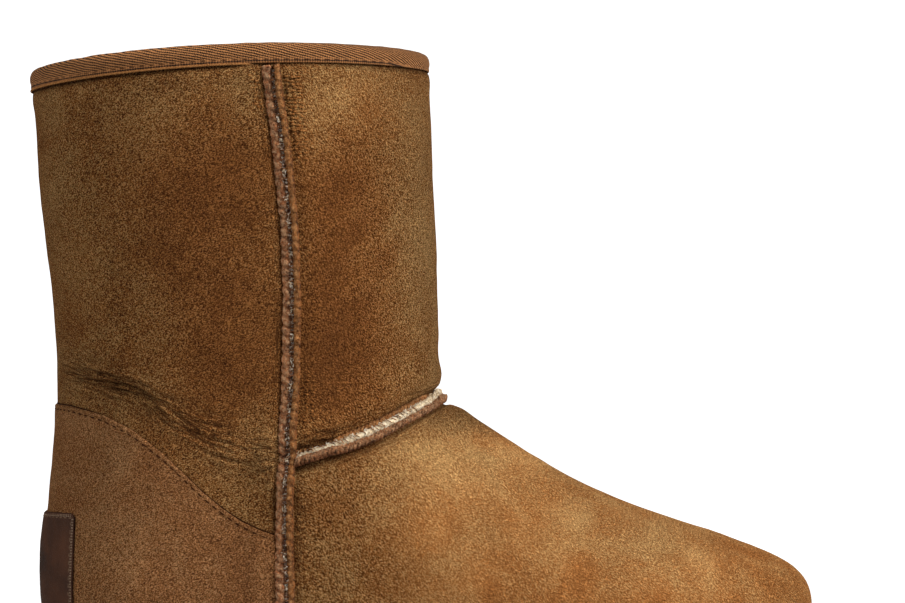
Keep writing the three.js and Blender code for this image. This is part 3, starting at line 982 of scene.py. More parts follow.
@dataclass(frozen=True)
class HideEdgeFinish:
    """The hide's cut, overcast edge: fuzzy, with painted highlights on its crests and painted shade in holes
    and gaps.
    """

    name: str
    dark: Colour
    light: Colour
    crest_highlight: Colour

    def material(self, groups: Groups) -> Material:
        """Builds the material.

        Args:
            groups: the shared node groups.

        Returns:
            The material.
        """
        material, g, shader, place = start_material(self.name)
        skin = g.node("Group", {"node_tree": groups.suede})
        g.give(skin.inputs["Place"], place)
        g.give(skin.inputs["Coarse"], 1.0)
        shade = g.noise(place, 420, 4, 0.75, 0.6)
        colour = g.blend(g.span(shade, 0.38, 0.62), self.dark, self.light)
        # Painted highlight on the crests; painted shade in the needle holes and between the lumps
        crest = g.times(g.value_of("crest"), g.span(g.noise(place, 900, 3, 0.7), 0.4, 0.7))
        colour = g.blend(crest, colour, self.crest_highlight)
        colour = g.blend(g.times(g.value_of("hole_shade"), 0.85), colour, tint(38, 24, 14))
        coat(g, shader, colour, 0.95, 0.08, 0.02)
        bumped(g, shader, g.plus(skin.outputs["Height"], shade), 0.0003)
        return material


@dataclass(frozen=True)
class WoolFinish:
    """Cream sheepskin wool with painted shade in its hollows, or with a random shade for each joined copy.
    """

    name: str
    hollow: Colour
    body: Colour
    tip: Colour
    depth: float

    def material(self, groups: Groups, by_copy: bool) -> Material:
        """Builds the material.

        Args:
            groups: the shared node groups.
            by_copy: whether each joined copy has a shade of its own.

        Returns:
            The material.
        """
        material, g, shader, place = start_material(self.name)
        curls = g.node("Group", {"node_tree": groups.wool})
        g.give(curls.inputs["Place"], place)
        shade = g.value_of("copy") if by_copy else curls.outputs["Shade"]
        low = g.blend(g.span(shade, 0.15, 0.5), self.hollow, self.body)
        coat(g, shader, g.blend(g.span(shade, 0.5, 0.95), low, self.tip), 1.0, 0.1, 0.25)
        shader.inputs["Sheen Roughness"].default_value = 0.6
        bumped(g, shader, curls.outputs["Height"], self.depth)
        return material


@dataclass(frozen=True)
class TwillFinish:
    """Folded twill tape: slanting ribs, fine steps between them and a smoother sewn edge."""

    name: str
    dark: Colour
    light: Colour
    rib_pitch: float = 0.0008
    yarn_pitch: float = 0.0006
    slant: float = 17
    edge: float = 0.0019
    groove: float = 0.001

    def material(self) -> Material:
        """Builds the material on the tape's own map.

        Returns:
            The material.
        """
        material, g, shader, place = start_material(self.name)
        track = g.node("SeparateXYZ", Vector=g.node("UVMap", {"uv_map": "tape"}).outputs[0]).outputs
        along, across = track[0], track[1]
        wander = g.times(g.minus(g.noise(place, 120, 2, 0.5), 0.5), 0.0011)
        slant = math.radians(self.slant)
        step = g.times(along, math.sin(slant))
        rise = g.times(across, math.cos(slant), wander)
        phase = g.times(g.plus(step, rise), math.tau / self.rib_pitch)
        rib = g.times(g.math("SINE", phase), 0.5, 0.5)
        yarn_phase = g.times(along, math.tau / self.yarn_pitch)
        yarn = g.times(g.math("SINE", g.times(phase, 0.5, yarn_phase)), 0.5, 0.5)
        sewn = g.span(across, self.edge * 0.8, self.edge * 1.2, 1, 0)
        plain = g.times(g.math("SINE", g.times(yarn_phase, 0.8)), 0.5, 0.5)
        weave = g.times(g.math("POWER", rib, 0.7), g.times(yarn, 0.4, 0.6))
        base = g.times(sewn, 0.4, g.times(plain, 0.2, 0.25))
        height = g.plus(g.times(weave, g.minus(1, sewn)), base)
        # Painted shade: darker between the ribs and along the groove in the sewn edge, over the yarn's own
        # uneven tone
        shade = g.plus(g.times(height, 0.8), g.times(g.noise(place, 380, 3), 0.35))
        groove = g.span(g.math("ABSOLUTE", g.minus(across, self.groove)), 0.0003, 0.0001)
        shade = g.minus(shade, g.times(groove, 0.3))
        coat(g, shader, g.blend(g.span(shade, 0.5, 1.0), self.dark, self.light), 0.8, 0.12, 0.02)
        bumped(g, shader, height, 0.0007)
        return material


@dataclass(frozen=True)
class ThreadFinish:
    """Sewing thread or cord, twisted along its length."""

    name: str
    dark: Colour
    light: Colour

    def material(self) -> Material:
        """Builds the material.

        Returns:
            The material.
        """
        material, g, shader, place = start_material(self.name)
        ply = g.noise(g.turned(place, (0, 50, 0), (1, 1, 0.3)), 2600, 2, 0.6, 0.3)
        coat(g, shader, g.blend(g.span(ply, 0.35, 0.65), self.dark, self.light), 0.9, 0.05)
        bumped(g, shader, ply, 0.0001)
        return material


@dataclass(frozen=True)
class MouldedFinish:
    """Moulded foam or pressed leather: fine pores, faint mottling and a lighter band along the rim."""

    name: str
    dark: Colour
    light: Colour
    roughness: float
    pore: float
    depth: float

    def material(self) -> Material:
        """Builds the material.

        Returns:
            The material.
        """
        material, g, shader, place = start_material(self.name)
        cloud = g.noise(place, 60, 4, 0.6, 0.4)
        pores = g.node("TexVoronoi", Vector=place, Scale=self.pore).outputs["Distance"]
        grain = g.noise(place, self.pore * 0.7, 3, 0.6, 0.3)
        colour = g.blend(g.span(cloud, 0.3, 0.7), self.dark, self.light)
        colour = g.blend(g.span(pores, 0.16, 0.0, 0, 0.4), colour, self.dark)
        colour = g.blend(g.times(g.value_of("rim"), 0.5), colour, self.light)
        roughness = g.span(grain, 0.3, 0.7, self.roughness - 0.08, self.roughness + 0.06)
        coat(g, shader, colour, roughness, 0.22)
        bumped(g, shader, g.plus(g.span(pores, 0, 0.5), grain), self.depth)
        return material


class Finishes:
    """Every finish of the boot."""

    def __init__(self, groups: Groups) -> None:
        """Builds the materials.

        Args:
            groups: the shared node groups.
        """
        self.suede = SuedeFinish(
            "suede", tint(152, 93, 47), tint(199, 128, 67), tint(233, 181, 115), tint(62, 33, 15)
        ).material(groups)
        self.counter = SuedeFinish(
            "counter_suede", tint(162, 104, 62), tint(206, 137, 82), tint(230, 172, 116), tint(58, 32, 17),
            0.0012, 0.9,
        ).material(groups)
        self.edge, self.rope, self.rope_dark = (
            HideEdgeFinish(name, tint(*dark), tint(*light), tint(*crest_highlight)).material(groups)
            for name, dark, light, crest_highlight in (
                # The last colour of each is the painted highlight on the crests
                ("hide_edge", (92, 46, 25), (214, 136, 86), (238, 190, 142)),
                ("rope_edge", (86, 47, 21), (180, 112, 58), (222, 162, 104)),
                ("rope_edge_dark", (74, 40, 24), (196, 128, 82), (236, 186, 138)),
            )
        )
        self.fleece, self.tuft, self.dense_wool, self.seam_wool = (
            WoolFinish(name, tint(*hollow), tint(*body), tint(*tip), depth).material(groups, by_copy)
            for name, hollow, body, tip, depth, by_copy in (
                ("fleece", (172, 146, 112), (232, 214, 182), (250, 242, 222), 0.0012, False),
                ("wool_tufts", (196, 168, 130), (230, 208, 172), (246, 234, 212), 0.0002, True),
                ("dense_wool", (190, 160, 120), (234, 212, 174), (248, 236, 212), 0.0006, False),
                ("seam_wool", (78, 46, 28), (170, 124, 88), (244, 226, 200), 0.0002, True),
            )
        )
        self.twill = TwillFinish("binding_twill", tint(28, 15, 8), tint(188, 127, 76)).material()
        self.cord, self.thread, self.cut_edge, self.patch_thread, self.hem_thread = (
            ThreadFinish(name, tint(*dark), tint(*light)).material()
            for name, dark, light in (
                ("binding_cord", (84, 50, 24), (188, 130, 76)),
                ("dark_thread", (42, 22, 10), (82, 48, 26)),
                # the dark cord that paints the shadow along the counter's edge
                ("cut_edge", (34, 18, 8), (66, 38, 20)),
                ("patch_thread", (74, 56, 44), (140, 112, 90)),
                ("patch_hem_thread", (96, 76, 60), (180, 156, 132)),
            )
        )
        self.patch, self.sole = (
            MouldedFinish(name, tint(*dark), tint(*light), *rest).material()
            for name, dark, light, *rest in (
                ("patch_leather", (42, 23, 12), (76, 44, 25), 0.7, 1500, 0.00012),
                ("sole_foam", (164, 118, 74), (198, 150, 100), 0.72, 900, 0.00014),
            )
        )


# The boot's own surface, and lines on it


def between(distance: Array, marks: Array, rows: Array) -> Array:
    """Rows of x, y, z at distances between marks that have a row each."""
    return np.stack([np.interp(distance, marks, rows[:, k]) for k in range(3)], axis=1)


@dataclass
class Skin:
    """The outer face of the hide, for finding places on it."""

    piece: Piece
    tree: BVHTree = field(init=False)

    def __post_init__(self) -> None:
        """Builds the search tree from the piece's faces."""
        self.tree = search_tree(self.piece)

    def from_side(self, x: float, z: float, side: Side) -> Met:
        """The place that a needle pushed in from one side meets first.

        Args:
            x: the needle's place on X.
            z: its height.
            side: the side that it comes from.

        Returns:
            The place and the outward direction.
        """
        start = Vector((x, side.value * 0.2, z))
        place, normal, _, _ = self.tree.ray_cast(start, Vector((0, -side.value, 0)))
        if place is None:
            place, normal, _, _ = self.tree.find_nearest(Vector((x, side.value * 0.03, z)))
        return place, normal

    def from_round(self, axis_x: float, turn: float, z: float) -> Met:
        """The place met from outside by a level ray towards an upright axis.

        Args:
            axis_x: where the axis stands on X.
            turn: degrees round the axis: 0 at the toe's side, 90 on the inner side, -90 on the outer.
            z: the ray's height.

        Returns:
            The place and the outward direction.
        """
        out = heading(turn)
        place, normal, _, _ = self.tree.ray_cast(Vector((axis_x, 0, z)) + out * 0.4, -out)
        if place is None:
            place, normal, _, _ = self.tree.find_nearest(Vector((axis_x, 0, z)) + out * 0.05)
        return place, normal

    def on_line(
        self,
        axis_x: float,
        turn: float,
        line: Callable[[float], float],
        reach: tuple[float, float] = COUNTER_RANGE,
    ) -> Met:
        """The place where a line drawn on the side view meets a direction round an axis.

        Args:
            axis_x: where the axis stands on X.
            turn: degrees round the axis.
            line: the line's height for a place on X.
            reach: a height below the line and one above it.

        Returns:
            The place and the outward direction.
        """
        low, high = reach
        for _ in range(16):
            middle = (low + high) / 2
            place, _ = self.from_round(axis_x, turn, middle)
            if middle < line(place.x):
                low = middle
            else:
                high = middle
        return self.from_round(axis_x, turn, (low + high) / 2)


@dataclass
class Run:
    """A line on the hide: places, outward directions, directions along it and across it."""

    places: Array
    out: Array
    along: Array = field(init=False)
    across: Array = field(init=False)
    length: Array = field(init=False)

    def __post_init__(self) -> None:
        """Works out the directions and the distance run so far."""
        step = np.gradient(self.places, axis=0)
        self.along = step / np.linalg.norm(step, axis=1)[:, None]
        smooth = self.out.copy()
        for _ in range(60):
            padded = np.vstack([smooth[:1], smooth, smooth[-1:]])
            smooth = (padded[:-2] + padded[1:-1] + padded[2:]) / 3
        self.out = smooth / np.linalg.norm(smooth, axis=1)[:, None]
        self.across = np.cross(self.along, self.out)
        self.across /= np.linalg.norm(self.across, axis=1)[:, None]
        runs = np.linalg.norm(np.diff(self.places, axis=0), axis=1)
        self.length = np.concatenate([[0], np.cumsum(runs)])

    def at(self, distance: Array) -> tuple[Array, Array, Array, Array]:
        """Places at distances along the line, and the directions along, across and out of it there."""
        parts = (self.places, self.along, self.across, self.out)
        return tuple(between(distance, self.length, part) for part in parts)


def spaced(met: list[Met], step: float) -> Run:
    """A line of even steps through rough places on the hide.

    Args:
        met: places with the outward directions there.
        step: the distance between the line's points, in metres.

    Returns:
        The line.
    """
    rough, turns = (np.array([tuple(row[k]) for row in met]) for k in range(2))
    runs = np.concatenate([[0], np.cumsum(np.linalg.norm(np.diff(rough, axis=0), axis=1))])
    want = np.linspace(0, runs[-1], int(runs[-1] / step) + 1)
    even = [between(want, runs, part) for part in (rough, turns)]
    for _ in range(40):
        even[0][1:-1] = (even[0][:-2] + even[0][1:-1] + even[0][2:]) / 3
    return Run(*even)


@dataclass(frozen=True)
class Pattern:
    """The seams and edges drawn on the side view, as shares of the boot's own sizes."""

    # up: share of the way from the seam's foot to its head; along: share of the ankle's length
    seam: tuple[tuple[float, float], ...] = (
        (0.00, 0.616), (0.10, 0.614), (0.21, 0.614), (0.35, 0.619), (0.48, 0.630),
        (0.62, 0.633), (0.74, 0.626), (0.87, 0.606), (1.00, 0.579),
    )
    # ahead: share of the way from the side seam to the ankle's front; drop: share of the seam's drop
    instep: tuple[tuple[float, float], ...] = (
        (0.00, 1.09), (0.22, 0.92), (0.42, 0.735), (0.64, 0.48), (0.86, 0.15), (1.02, -0.085), (1.20, -0.30),
    )
    # back: share of the way from the seam's foot to the boot's back; high: share of the counter's height
    counter: tuple[tuple[float, float], ...] = (
        (0.00, 0.556), (0.09, 0.580), (0.17, 0.610), (0.25, 0.654), (0.33, 0.708), (0.41, 0.772),
        (0.49, 0.832), (0.61, 0.905), (0.73, 0.953), (0.87, 0.982), (1.00, 0.993), (1.10, 0.993),
    )
    seam_foot: float = 14 * MM
    instep_top: float = 102.3 * MM
    instep_drop: float = 18 * MM
    counter_height: float = 103.5 * MM

    def seam_x(self, z: float) -> float:
        """Where the side seam stands on X at a height.

        Args:
            z: the height.

        Returns:
            The place on X.
        """
        up = [row[0] for row in self.seam]
        share = (z - self.seam_foot) / (SEAM_TOP - self.seam_foot)
        return ANKLE_BACK + ANKLE_LENGTH * float(np.interp(share, up, [row[1] for row in self.seam]))

    def instep_z(self, x: float) -> float:
        """The instep seam's height at a place on X.

        Args:
            x: the place.

        Returns:
            The height.
        """
        start = self.seam_x(self.instep_top - self.instep_drop)
        share = (x - start) / (ANKLE_FRONT - start)
        drop = np.interp(share, [row[0] for row in self.instep], [row[1] for row in self.instep])
        return self.instep_top - self.instep_drop * float(drop)

    def counter_z(self, x: float) -> float:
        """The height of the counter's edge at a place on X.

        Args:
            x: the place.

        Returns:
            The height.
        """
        foot = self.seam_x(self.counter_height * self.counter[0][1])
        share = (foot - x) / (foot - HEEL_BACK)
        high = np.interp(share, [row[0] for row in self.counter], [row[1] for row in self.counter])
        return self.counter_height * float(high)


PATTERN = Pattern()


def side_run(skin: Skin, side: Side, step: float = 0.4 * MM) -> Run:
    """The side seam's line on the hide, from the sole to the tape.

    Args:
        skin: the hide.
        side: which side's seam.
        step: the distance between the line's points.

    Returns:
        The line.
    """
    heights = np.linspace(27 * MM, SEAM_TOP - 0.2 * MM, 90)
    met = [skin.from_side(PATTERN.seam_x(z), z, side) for z in heights[:: -side.value]]
    return spaced(met, step)


def instep_run(skin: Skin, step: float = 0.4 * MM) -> Run:
    """The instep seam's line on the hide, from the outer side seam over the instep to the inner one.

    Args:
        skin: the hide.
        step: the distance between the line's points.

    Returns:
        The line.
    """
    axis = PATTERN.seam_x(84 * MM)
    turns = np.linspace(-87, 87, 120)
    met = [skin.on_line(axis, turn, PATTERN.instep_z, INSTEP_RANGE) for turn in turns]
    return spaced(met, step)


def nearest_on(run: Run, points: Array) -> tuple[Array, Array]:
    """How far points lie from a line, and to which side of it.

    Args:
        run: the line.
        points: places, one per row.

    Returns:
        The signed distance across the line in millimetres, and the distance along it in metres.
    """
    tree = KDTree(len(run.places))
    for k, place in enumerate(run.places):
        tree.insert(place, k)
    tree.balance()
    found = [tree.find(point) for point in points]
    index = np.array([hit[1] for hit in found])
    apart = np.array([hit[2] for hit in found])
    sign = np.sign(np.einsum("ij,ij->i", points - run.places[index], run.across[index]))
    return apart * sign / MM, run.length[index]


# The boot's sub-assemblies


@dataclass
class Studio:
    """A pale floor that curves up on every side into a backdrop, under soft light from the upper right."""

    flat: float = 4.5
    reach: float = 8.0
    height: float = 4.0
    sky: float = 0.08

    def build(self) -> None:
        """Makes the floor, the lights and the sky."""
        self.build_floor()
        self.add_light("key", (0.8, -0.36, 0.56), 2.4, 0.8, 80)
        self.add_light("fill", (-0.72, -0.45, 0.6), 2.3, 0.8, 28)
        world = bpy.data.worlds.new("sky")
        bpy.context.scene.world = world
        world.use_nodes = True
        background = world.node_tree.nodes["Background"]
        background.inputs["Color"].default_value = (1, 1, 1, 1)
        background.inputs["Strength"].default_value = self.sky
        bpy.context.scene.view_settings.view_transform = "Standard"

    def build_floor(self) -> None:
        """Bends a plain sheet into floor and backdrop."""

        def shape(u: Array, v: Array) -> Array:
            """Places on the floor.

            Args:
                u: share of the way along it.
                v: share of the way across it.

            Returns:
                One place for each pair.
            """
            x, y = (2 * u - 1) * self.reach, (2 * v - 1) * self.reach
            rise = self.height * ease(np.hypot(x, y), self.flat, self.reach)
            return np.stack([x, y, rise], axis=1)

        floor = sheet_piece("floor", 64, 64, shape)
        bpy.ops.object.shade_smooth()
        material, g, shader, place = start_material("pale_floor")
        shader.inputs["Base Color"].default_value = (0.45, 0.45, 0.45, 1)
        shader.inputs["Roughness"].default_value = 0.95
        shader.inputs["Emission Color"].default_value = (1, 1, 1, 1)
        away = g.node("VectorMath", {"operation": "LENGTH"})
        g.give(away.inputs[0], place)
        glow = g.span(away.outputs["Value"], 0.3, 1.1, 0.5, 1.1)
        seen = g.node("LightPath").outputs["Is Camera Ray"]
        g.give(shader.inputs["Emission Strength"], g.times(glow, seen))
        floor.data.materials.append(material)

    def add_light(
        self, name: str, way: tuple[float, float, float], far: float, size: float, power: float
    ) -> None:
        """Adds a square soft light, turned to look at the boot.

        Args:
            name: the light's name.
            way: its direction from the boot.
            far: its distance, in metres.
            size: the length of its side, in metres.
            power: its power, in watts.
        """
        data = bpy.data.lights.new(name, "AREA")
        data.size = size
        data.energy = power
        lamp = bpy.data.objects.new(name, data)
        lamp.location = Vector(way).normalized() * far + Vector((0, 0, 0.12))
        lamp.rotation_euler = Vector(way).to_track_quat("Z", "Y").to_euler()
        bpy.context.scene.collection.objects.link(lamp)


@dataclass(frozen=True)
class Bed:
    """How a raised seam beds into the hide, in millimetres.

    Each pair is for the two sides of the seam's line. half: how far the seam reaches. groove: depth of the
    hide beside it. puff: height of the hide past the groove. dark: shade in the groove. fine: strength of
    the fine creases along it. gathers: height of the puckers across them.
    """

    half: tuple[float, float]
    groove: tuple[float, float]
    puff: tuple[float, float]
    dark: tuple[float, float]
    fine: tuple[float, float]
    gathers: float = 0


SIDE_BED = Bed((2.5, 3.0), (0.55, 0.2), (0.6, 0.25), (0.4, 0.1), (0.85, 0.15), 0.14)
INSTEP_BED = Bed((3.1, 3.1), (1.5, 0.9), (1.3, 0.6), (1.0, 0.8), (0.85, 0.6))


@dataclass
class Upper:
    """The sheepskin shell: hide outside, wool inside."""

    hide_share: float = 0.42
    shaft_foot: float = 90 * MM
    swell: float = 0.3
    # stitch imprints: columns across the side seam, first and last depth below its head, pitch, reach
    imprint_rows: tuple[tuple[tuple[float, ...], float, float, float, float], ...] = (
        ((4.9, 6.7, 8.6), 4, 22, 1.25, 1.1),
        ((5.3, 7.8), 22, 32, 1.5, 1.0),
        ((5.4, 7.6), 104, 120, 1.5, 0.6),
        ((-4.6, -6.4), 4, 15, 1.3, 0.5),
        ((-4.8,), 15, 34, 1.7, 0.35),
    )
    hide: Piece = field(init=False, default=None)

    def is_outside(self, piece: Piece) -> Array:
        """Tells the vertices of the outer face from those of the inner one.

        Args:
            piece: a shell of the upper.

        Returns:
            One truth value for each vertex.
        """
        points = points_of(piece)
        in_shaft = points[:, 2] > self.shaft_foot
        middle = np.zeros_like(points)
        middle[:, 0] = np.where(in_shaft, SHAFT_AXIS, np.clip(points[:, 0], HEEL_BACK + 45 * MM, 90 * MM))
        middle[:, 1] = 3 * MM
        middle[:, 2] = np.where(in_shaft, points[:, 2], 25 * MM)
        return np.einsum("ij,ij->i", normals_of(piece), points - middle) > 0

    def shell(self, name: str, outer_share: float, inner_share: float) -> Piece:
        """A closed shell between two depths of the wall.

        Args:
            name: the piece's name.
            outer_share: depth of its outer face, as a share of the wall.
            inner_share: depth of its inner face, as a share of the wall.

        Returns:
            The coarse shell.
        """
        piece = node_copy("upper", name, sharp=62)
        outside = self.is_outside(piece)
        points = points_of(piece)
        trees = {}
        for key, mask in (("out", outside), ("in", ~outside)):
            tree = KDTree(int(mask.sum()))
            for k in np.flatnonzero(mask):
                tree.insert(points[k], int(k))
            tree.balance()
            trees[key] = tree
        moved = points.copy()
        for k, point in enumerate(points):
            other = np.array(trees["in" if outside[k] else "out"].find(point)[0])
            share = outer_share if outside[k] else 1 - inner_share
            moved[k] = point + (other - point) * share
        move_points(piece, moved)
        return piece

    def build_hide(self) -> None:
        """Makes the hide, finer where folds and seams need it."""
        piece = self.shell("upper_hide", 0, self.hide_share)
        apply_subsurf(piece, 2)
        outside = self.is_outside(piece)
        points = points_of(piece)
        in_picture = (points[:, 0] < 70 * MM) & (points[:, 1] < 12 * MM) & (points[:, 2] > 45 * MM)
        refine(piece, outside & in_picture)
        points = points_of(piece)
        seen = CAMERA.side_view(points)
        near_side = points[:, 1] < -4 * MM
        ankle = (seen[:, 0] > 8) & (seen[:, 0] < 82) & (seen[:, 1] > 80) & (seen[:, 1] < 118)
        instep = (seen[:, 0] > 86) & (seen[:, 0] < 137) & (seen[:, 1] > 76) & (seen[:, 1] < 101)
        seam_x = np.interp(seen[:, 1], [56, 84, 124, 161, 216], [85, 85, 87, 86, 80])
        seam = (np.abs(seen[:, 0] - seam_x) < 7) & (seen[:, 1] > 50)
        refine(piece, self.is_outside(piece) & near_side & (ankle | instep | seam))
        points = points_of(piece)
        seen = CAMERA.side_view(points)
        drop = 112 - 0.42 * (seen[:, 0] - 10)
        creases = (seen[:, 0] > 9) & (seen[:, 0] < 66) & (np.abs(seen[:, 1] - drop) < 8)
        refine(piece, self.is_outside(piece) & (points[:, 1] < -4 * MM) & creases)
        self.hide = piece

    def fold_marks(self, points: Array, side_on: Array) -> tuple[Array, Array]:
        """What the folds do to the hide.

        Args:
            points: the hide's vertices.
            side_on: how much each one faces sideways.

        Returns:
            The movement outward in millimetres, and the painted shade in the narrow folds, 0 to 1.
        """
        where = heel_mm(points)
        flat = where[:, [0, 2]]
        wave = unevenness(where, 7, 11) * 0.35
        push, deep = np.zeros(len(points)), np.zeros(len(points))
        for folds, view, on in (
            (OUTER_FOLDS, CAMERA.side_view(points), (points[:, 1] < 0) * side_on),
            (INNER_FOLDS, flat, (points[:, 1] > 0) * side_on),
            (TOE_FOLDS, flat, points[:, 2] < 85 * MM),
        ):
            view = view + np.stack([wave * 0.4, wave], axis=1)
            for fold in folds:
                move, trough = fold.press(view)
                push += move * on
                # Narrow folds get painted shade in their troughs
                if fold.width < 3:
                    deep = np.maximum(deep, 0.55 * trough**2 * min(1, fold.depth) * on)
        return push, deep

    def press(self) -> tuple[Run, Run, Run]:
        """Presses folds, seams and softness into the hide, and keeps what its material needs.

        Returns:
            The lines of the outer, inner and instep seams on the pressed hide.
        """
        piece = self.hide
        points, normals = points_of(piece), normals_of(piece)
        plain = Skin(piece)
        runs = [side_run(plain, Side.OUTER), side_run(plain, Side.INNER), instep_run(plain)]
        where, seen = heel_mm(points), CAMERA.side_view(points)
        side_on = ease(np.abs(normals[:, 1]), 0.15, 0.5)
        push, deep = self.fold_marks(points, side_on)
        push += self.swell
        flow = np.zeros((len(points), 2))
        creased = np.zeros(len(points))
        beside = np.zeros(len(points))
        for run, bed in zip(runs, (SIDE_BED, SIDE_BED, INSTEP_BED)):
            apart, along = nearest_on(run, points)
            half, groove, puff, dark, fine = (
                np.where(apart < 0, *pair) for pair in (bed.half, bed.groove, bed.puff, bed.dark, bed.fine)
            )
            clear = np.abs(apart) - half
            push -= groove * bell(np.maximum(clear, 0), 1.2)
            push += puff * bell(clear - 5.5, 4.5)
            push += bed.gathers * np.sin(along / MM * math.tau / 2.6) * bell(clear - 2.5, 2.2)
            # Painted shade in the grooves beside the seams
            beside = np.maximum(beside, dark * bell(np.maximum(clear - 0.3, 0), 0.8))
            mask = fine * bell(clear - 2.2, 2.4)
            flow = np.where((mask > creased)[:, None], np.stack([along / MM, np.abs(apart)], axis=1), flow)
            creased = np.maximum(creased, mask)
        along, off = CREASE_FAN.across(seen)
        mask = bell(off, 9) * ease(along, 0, 12) * ease(along, 102, 84) * side_on * (points[:, 1] < 0)
        spread = off / (1 + 0.012 * np.maximum(along - 35, 0))
        flow = np.where((mask > creased)[:, None], np.stack([along, spread], axis=1), flow)
        creased = np.maximum(creased, mask)
        below_tape = (tape_foot(points[:, 0]) - points[:, 2]) / MM
        for height, size, seed in ((0.55, 34, 3), (0.28, 13, 4), (0.1, 4.5, 5)):
            push += height * unevenness(where, size, seed)
        push += 0.45 * bell(below_tape - 3.2, 3.2)
        free = ease(below_tape, -1.2, 0.9)
        push = push * free - 0.15 * (1 - free)
        push = np.where(self.is_outside(piece), push * ease(where[:, 2], 22, 34), 0)
        move_points(piece, points + normals * push[:, None] * MM)
        add_track(piece, "flow", flow[:, 0] * MM, flow[:, 1] * MM)
        add_value(piece, "creased", creased)
        self.shade(points, np.maximum(deep, beside * 0.9), below_tape)
        pressed = Skin(piece)
        return side_run(pressed, Side.OUTER), side_run(pressed, Side.INNER), instep_run(pressed)

    def shade(self, points: Array, folds: Array, below_tape: Array) -> None:
        """Keeps at the hide's vertices painted shade, tone that is partly painted light, coarseness and
        their panel.

        Args:
            points: the vertices before they were pressed.
            folds: the painted shade in folds and beside seams, 0 to 1.
            below_tape: how far they lie below the tape, in millimetres.
        """
        where, seen = heel_mm(points), CAMERA.side_view(points)
        over_counter = 0.75 * (points[:, 2] - np.array([PATTERN.counter_z(x) for x in points[:, 0]])) / MM
        behind = points[:, 0] < PATTERN.seam_x(60 * MM)
        # Painted shadow under the tape's lower edge and above the counter's edge, with the painted shade of
        # folds and seams
        edges = 0.7 * bell(np.maximum(below_tape, 0), 0.9)
        edges = np.maximum(edges, 0.9 * bell(np.maximum(over_counter, 0), 0.45) * behind)
        add_value(self.hide, "fold", np.clip(np.maximum(folds, edges), 0, 1))
        over = ease(points[:, 1] / MM, -12, 16)
        tone = sum(spot.at(seen) * (1 - over) + 0.7 * spot.at(where[:, [0, 2]]) * over for spot in TONES_AND_PAINTED_LIGHT)
        add_value(self.hide, "tone", tone + 0.14 * unevenness(where, 22, 8) + 0.08 * unevenness(where, 8, 9))
        vamp = ease(seen[:, 0], 98, 138) * ease(-seen[:, 1], -100, -88)
        bright = bell(seen[:, 0] - 106, 20) * bell(seen[:, 1] - 206, 15)
        coarse = 0.95 - 0.84 * vamp - 0.5 * bright + 0.15 * unevenness(where, 15, 6)
        add_value(self.hide, "coarse", np.clip(coarse, 0, 1))
        add_value(self.hide, "front", points[:, 0] > np.array([PATTERN.seam_x(z) for z in points[:, 2]]))

    def build_lining(self) -> Piece:
        """Makes the wool lining, lumpy on the inside.

        Returns:
            The lining.
        """
        piece = self.shell("fleece_lining", self.hide_share + 0.08, 1)
        apply_subsurf(piece, 1)
        for _ in range(2):
            refine(piece, ~self.is_outside(piece) & (points_of(piece)[:, 2] > 160 * MM))
        points = points_of(piece)
        where = heel_mm(points)
        lumps = 0.7 * unevenness(where, 5, 21) + 0.45 * unevenness(where, 2.6, 22)
        lumps = np.where(self.is_outside(piece), 0, lumps - 0.2)
        move_points(piece, points + normals_of(piece) * lumps[:, None] * MM)
        return piece

    def collar_wool(self, lining: Piece, count: int = 2500, reach: float = 50 * MM) -> Piece:
        """Loose curls on the lining where one looks into the shaft.

        Args:
            lining: the lining.
            count: how many curls.
            reach: how far down from the collar they go, in metres.

        Returns:
            The curls as one piece.
        """
        rng = np.random.default_rng(17)
        points, normals = points_of(lining), normals_of(lining)
        high = points[:, 2]
        open_part = ~self.is_outside(lining) & (high > COLLAR_TOP - reach) & (high < COLLAR_TOP - 8 * MM)
        pick = rng.choice(np.flatnonzero(open_part), count)
        places = points[pick] + normals[pick] * 0.5 * MM + rng.normal(0, 0.4 * MM, (count, 3))
        scales = np.repeat(rng.uniform(1.6, 2.8, (count, 1)) * MM, 3, axis=1)
        return scatter("collar_wool", curl_model(), places, random_frames(rng, count), scales)

    def imprints(self) -> Piece:
        """The short ridges that inner stitches press into the hide beside the outer side seam.

        Returns:
            The ridges as one piece.
        """
        rng = np.random.default_rng(23)
        skin = Skin(self.hide)
        places, ups, reach = [], [], []
        for columns, first, last, pitch, long in self.imprint_rows:
            rows = SEAM_TOP - np.arange(first, last, pitch) * MM
            for column in columns:
                for z in rows + rng.normal(0, 0.2 * MM, len(rows)):
                    x = PATTERN.seam_x(z) + (column + rng.normal(0, 0.35)) * MM
                    place, normal = skin.from_side(x, z, Side.OUTER)
                    places.append(tuple(place))
                    ups.append(tuple(normal))
                    reach.append(long)
        out = np.array(ups)
        across = np.cross(out, np.array([0, 0, 1]))
        across = -across / np.linalg.norm(across, axis=1)[:, None]
        frames = np.stack([across, np.cross(out, across), out], axis=1)
        count = len(places)
        long = np.array(reach) * rng.uniform(0.5, 1.2, count)
        scales = np.stack([long, np.full(count, 0.36), rng.uniform(0.35, 0.7, count)], axis=1) * MM
        return scatter("stitch_imprints", ball(10), np.array(places) - out * 0.02 * MM, frames, scales)


@dataclass(frozen=True)
class Lip:
    """One hide edge of a raised seam, in millimetres.

    start and end: its place across the seam. height: of its crest. pitch: of its lumps, between stitches.
    lump: how far they swell. slant: how far the lumps lean along the seam. gap: how dark the painted shade
    between them is.
    """

    start: float
    end: float
    height: float
    pitch: float = 3.15
    lump: float = 0.28
    slant: float = 0.0
    gap: float = 0.2


@dataclass(frozen=True)
class WoolBand:
    """The wool that pushes out between two edges, in millimetres.

    pitch: of the clumps that overcasting gathers it in; count: curls in each clump.
    """

    start: float
    end: float
    low: float
    high: float
    pitch: float
    count: int
    size: float = 0.9
    gather: float = 0.22


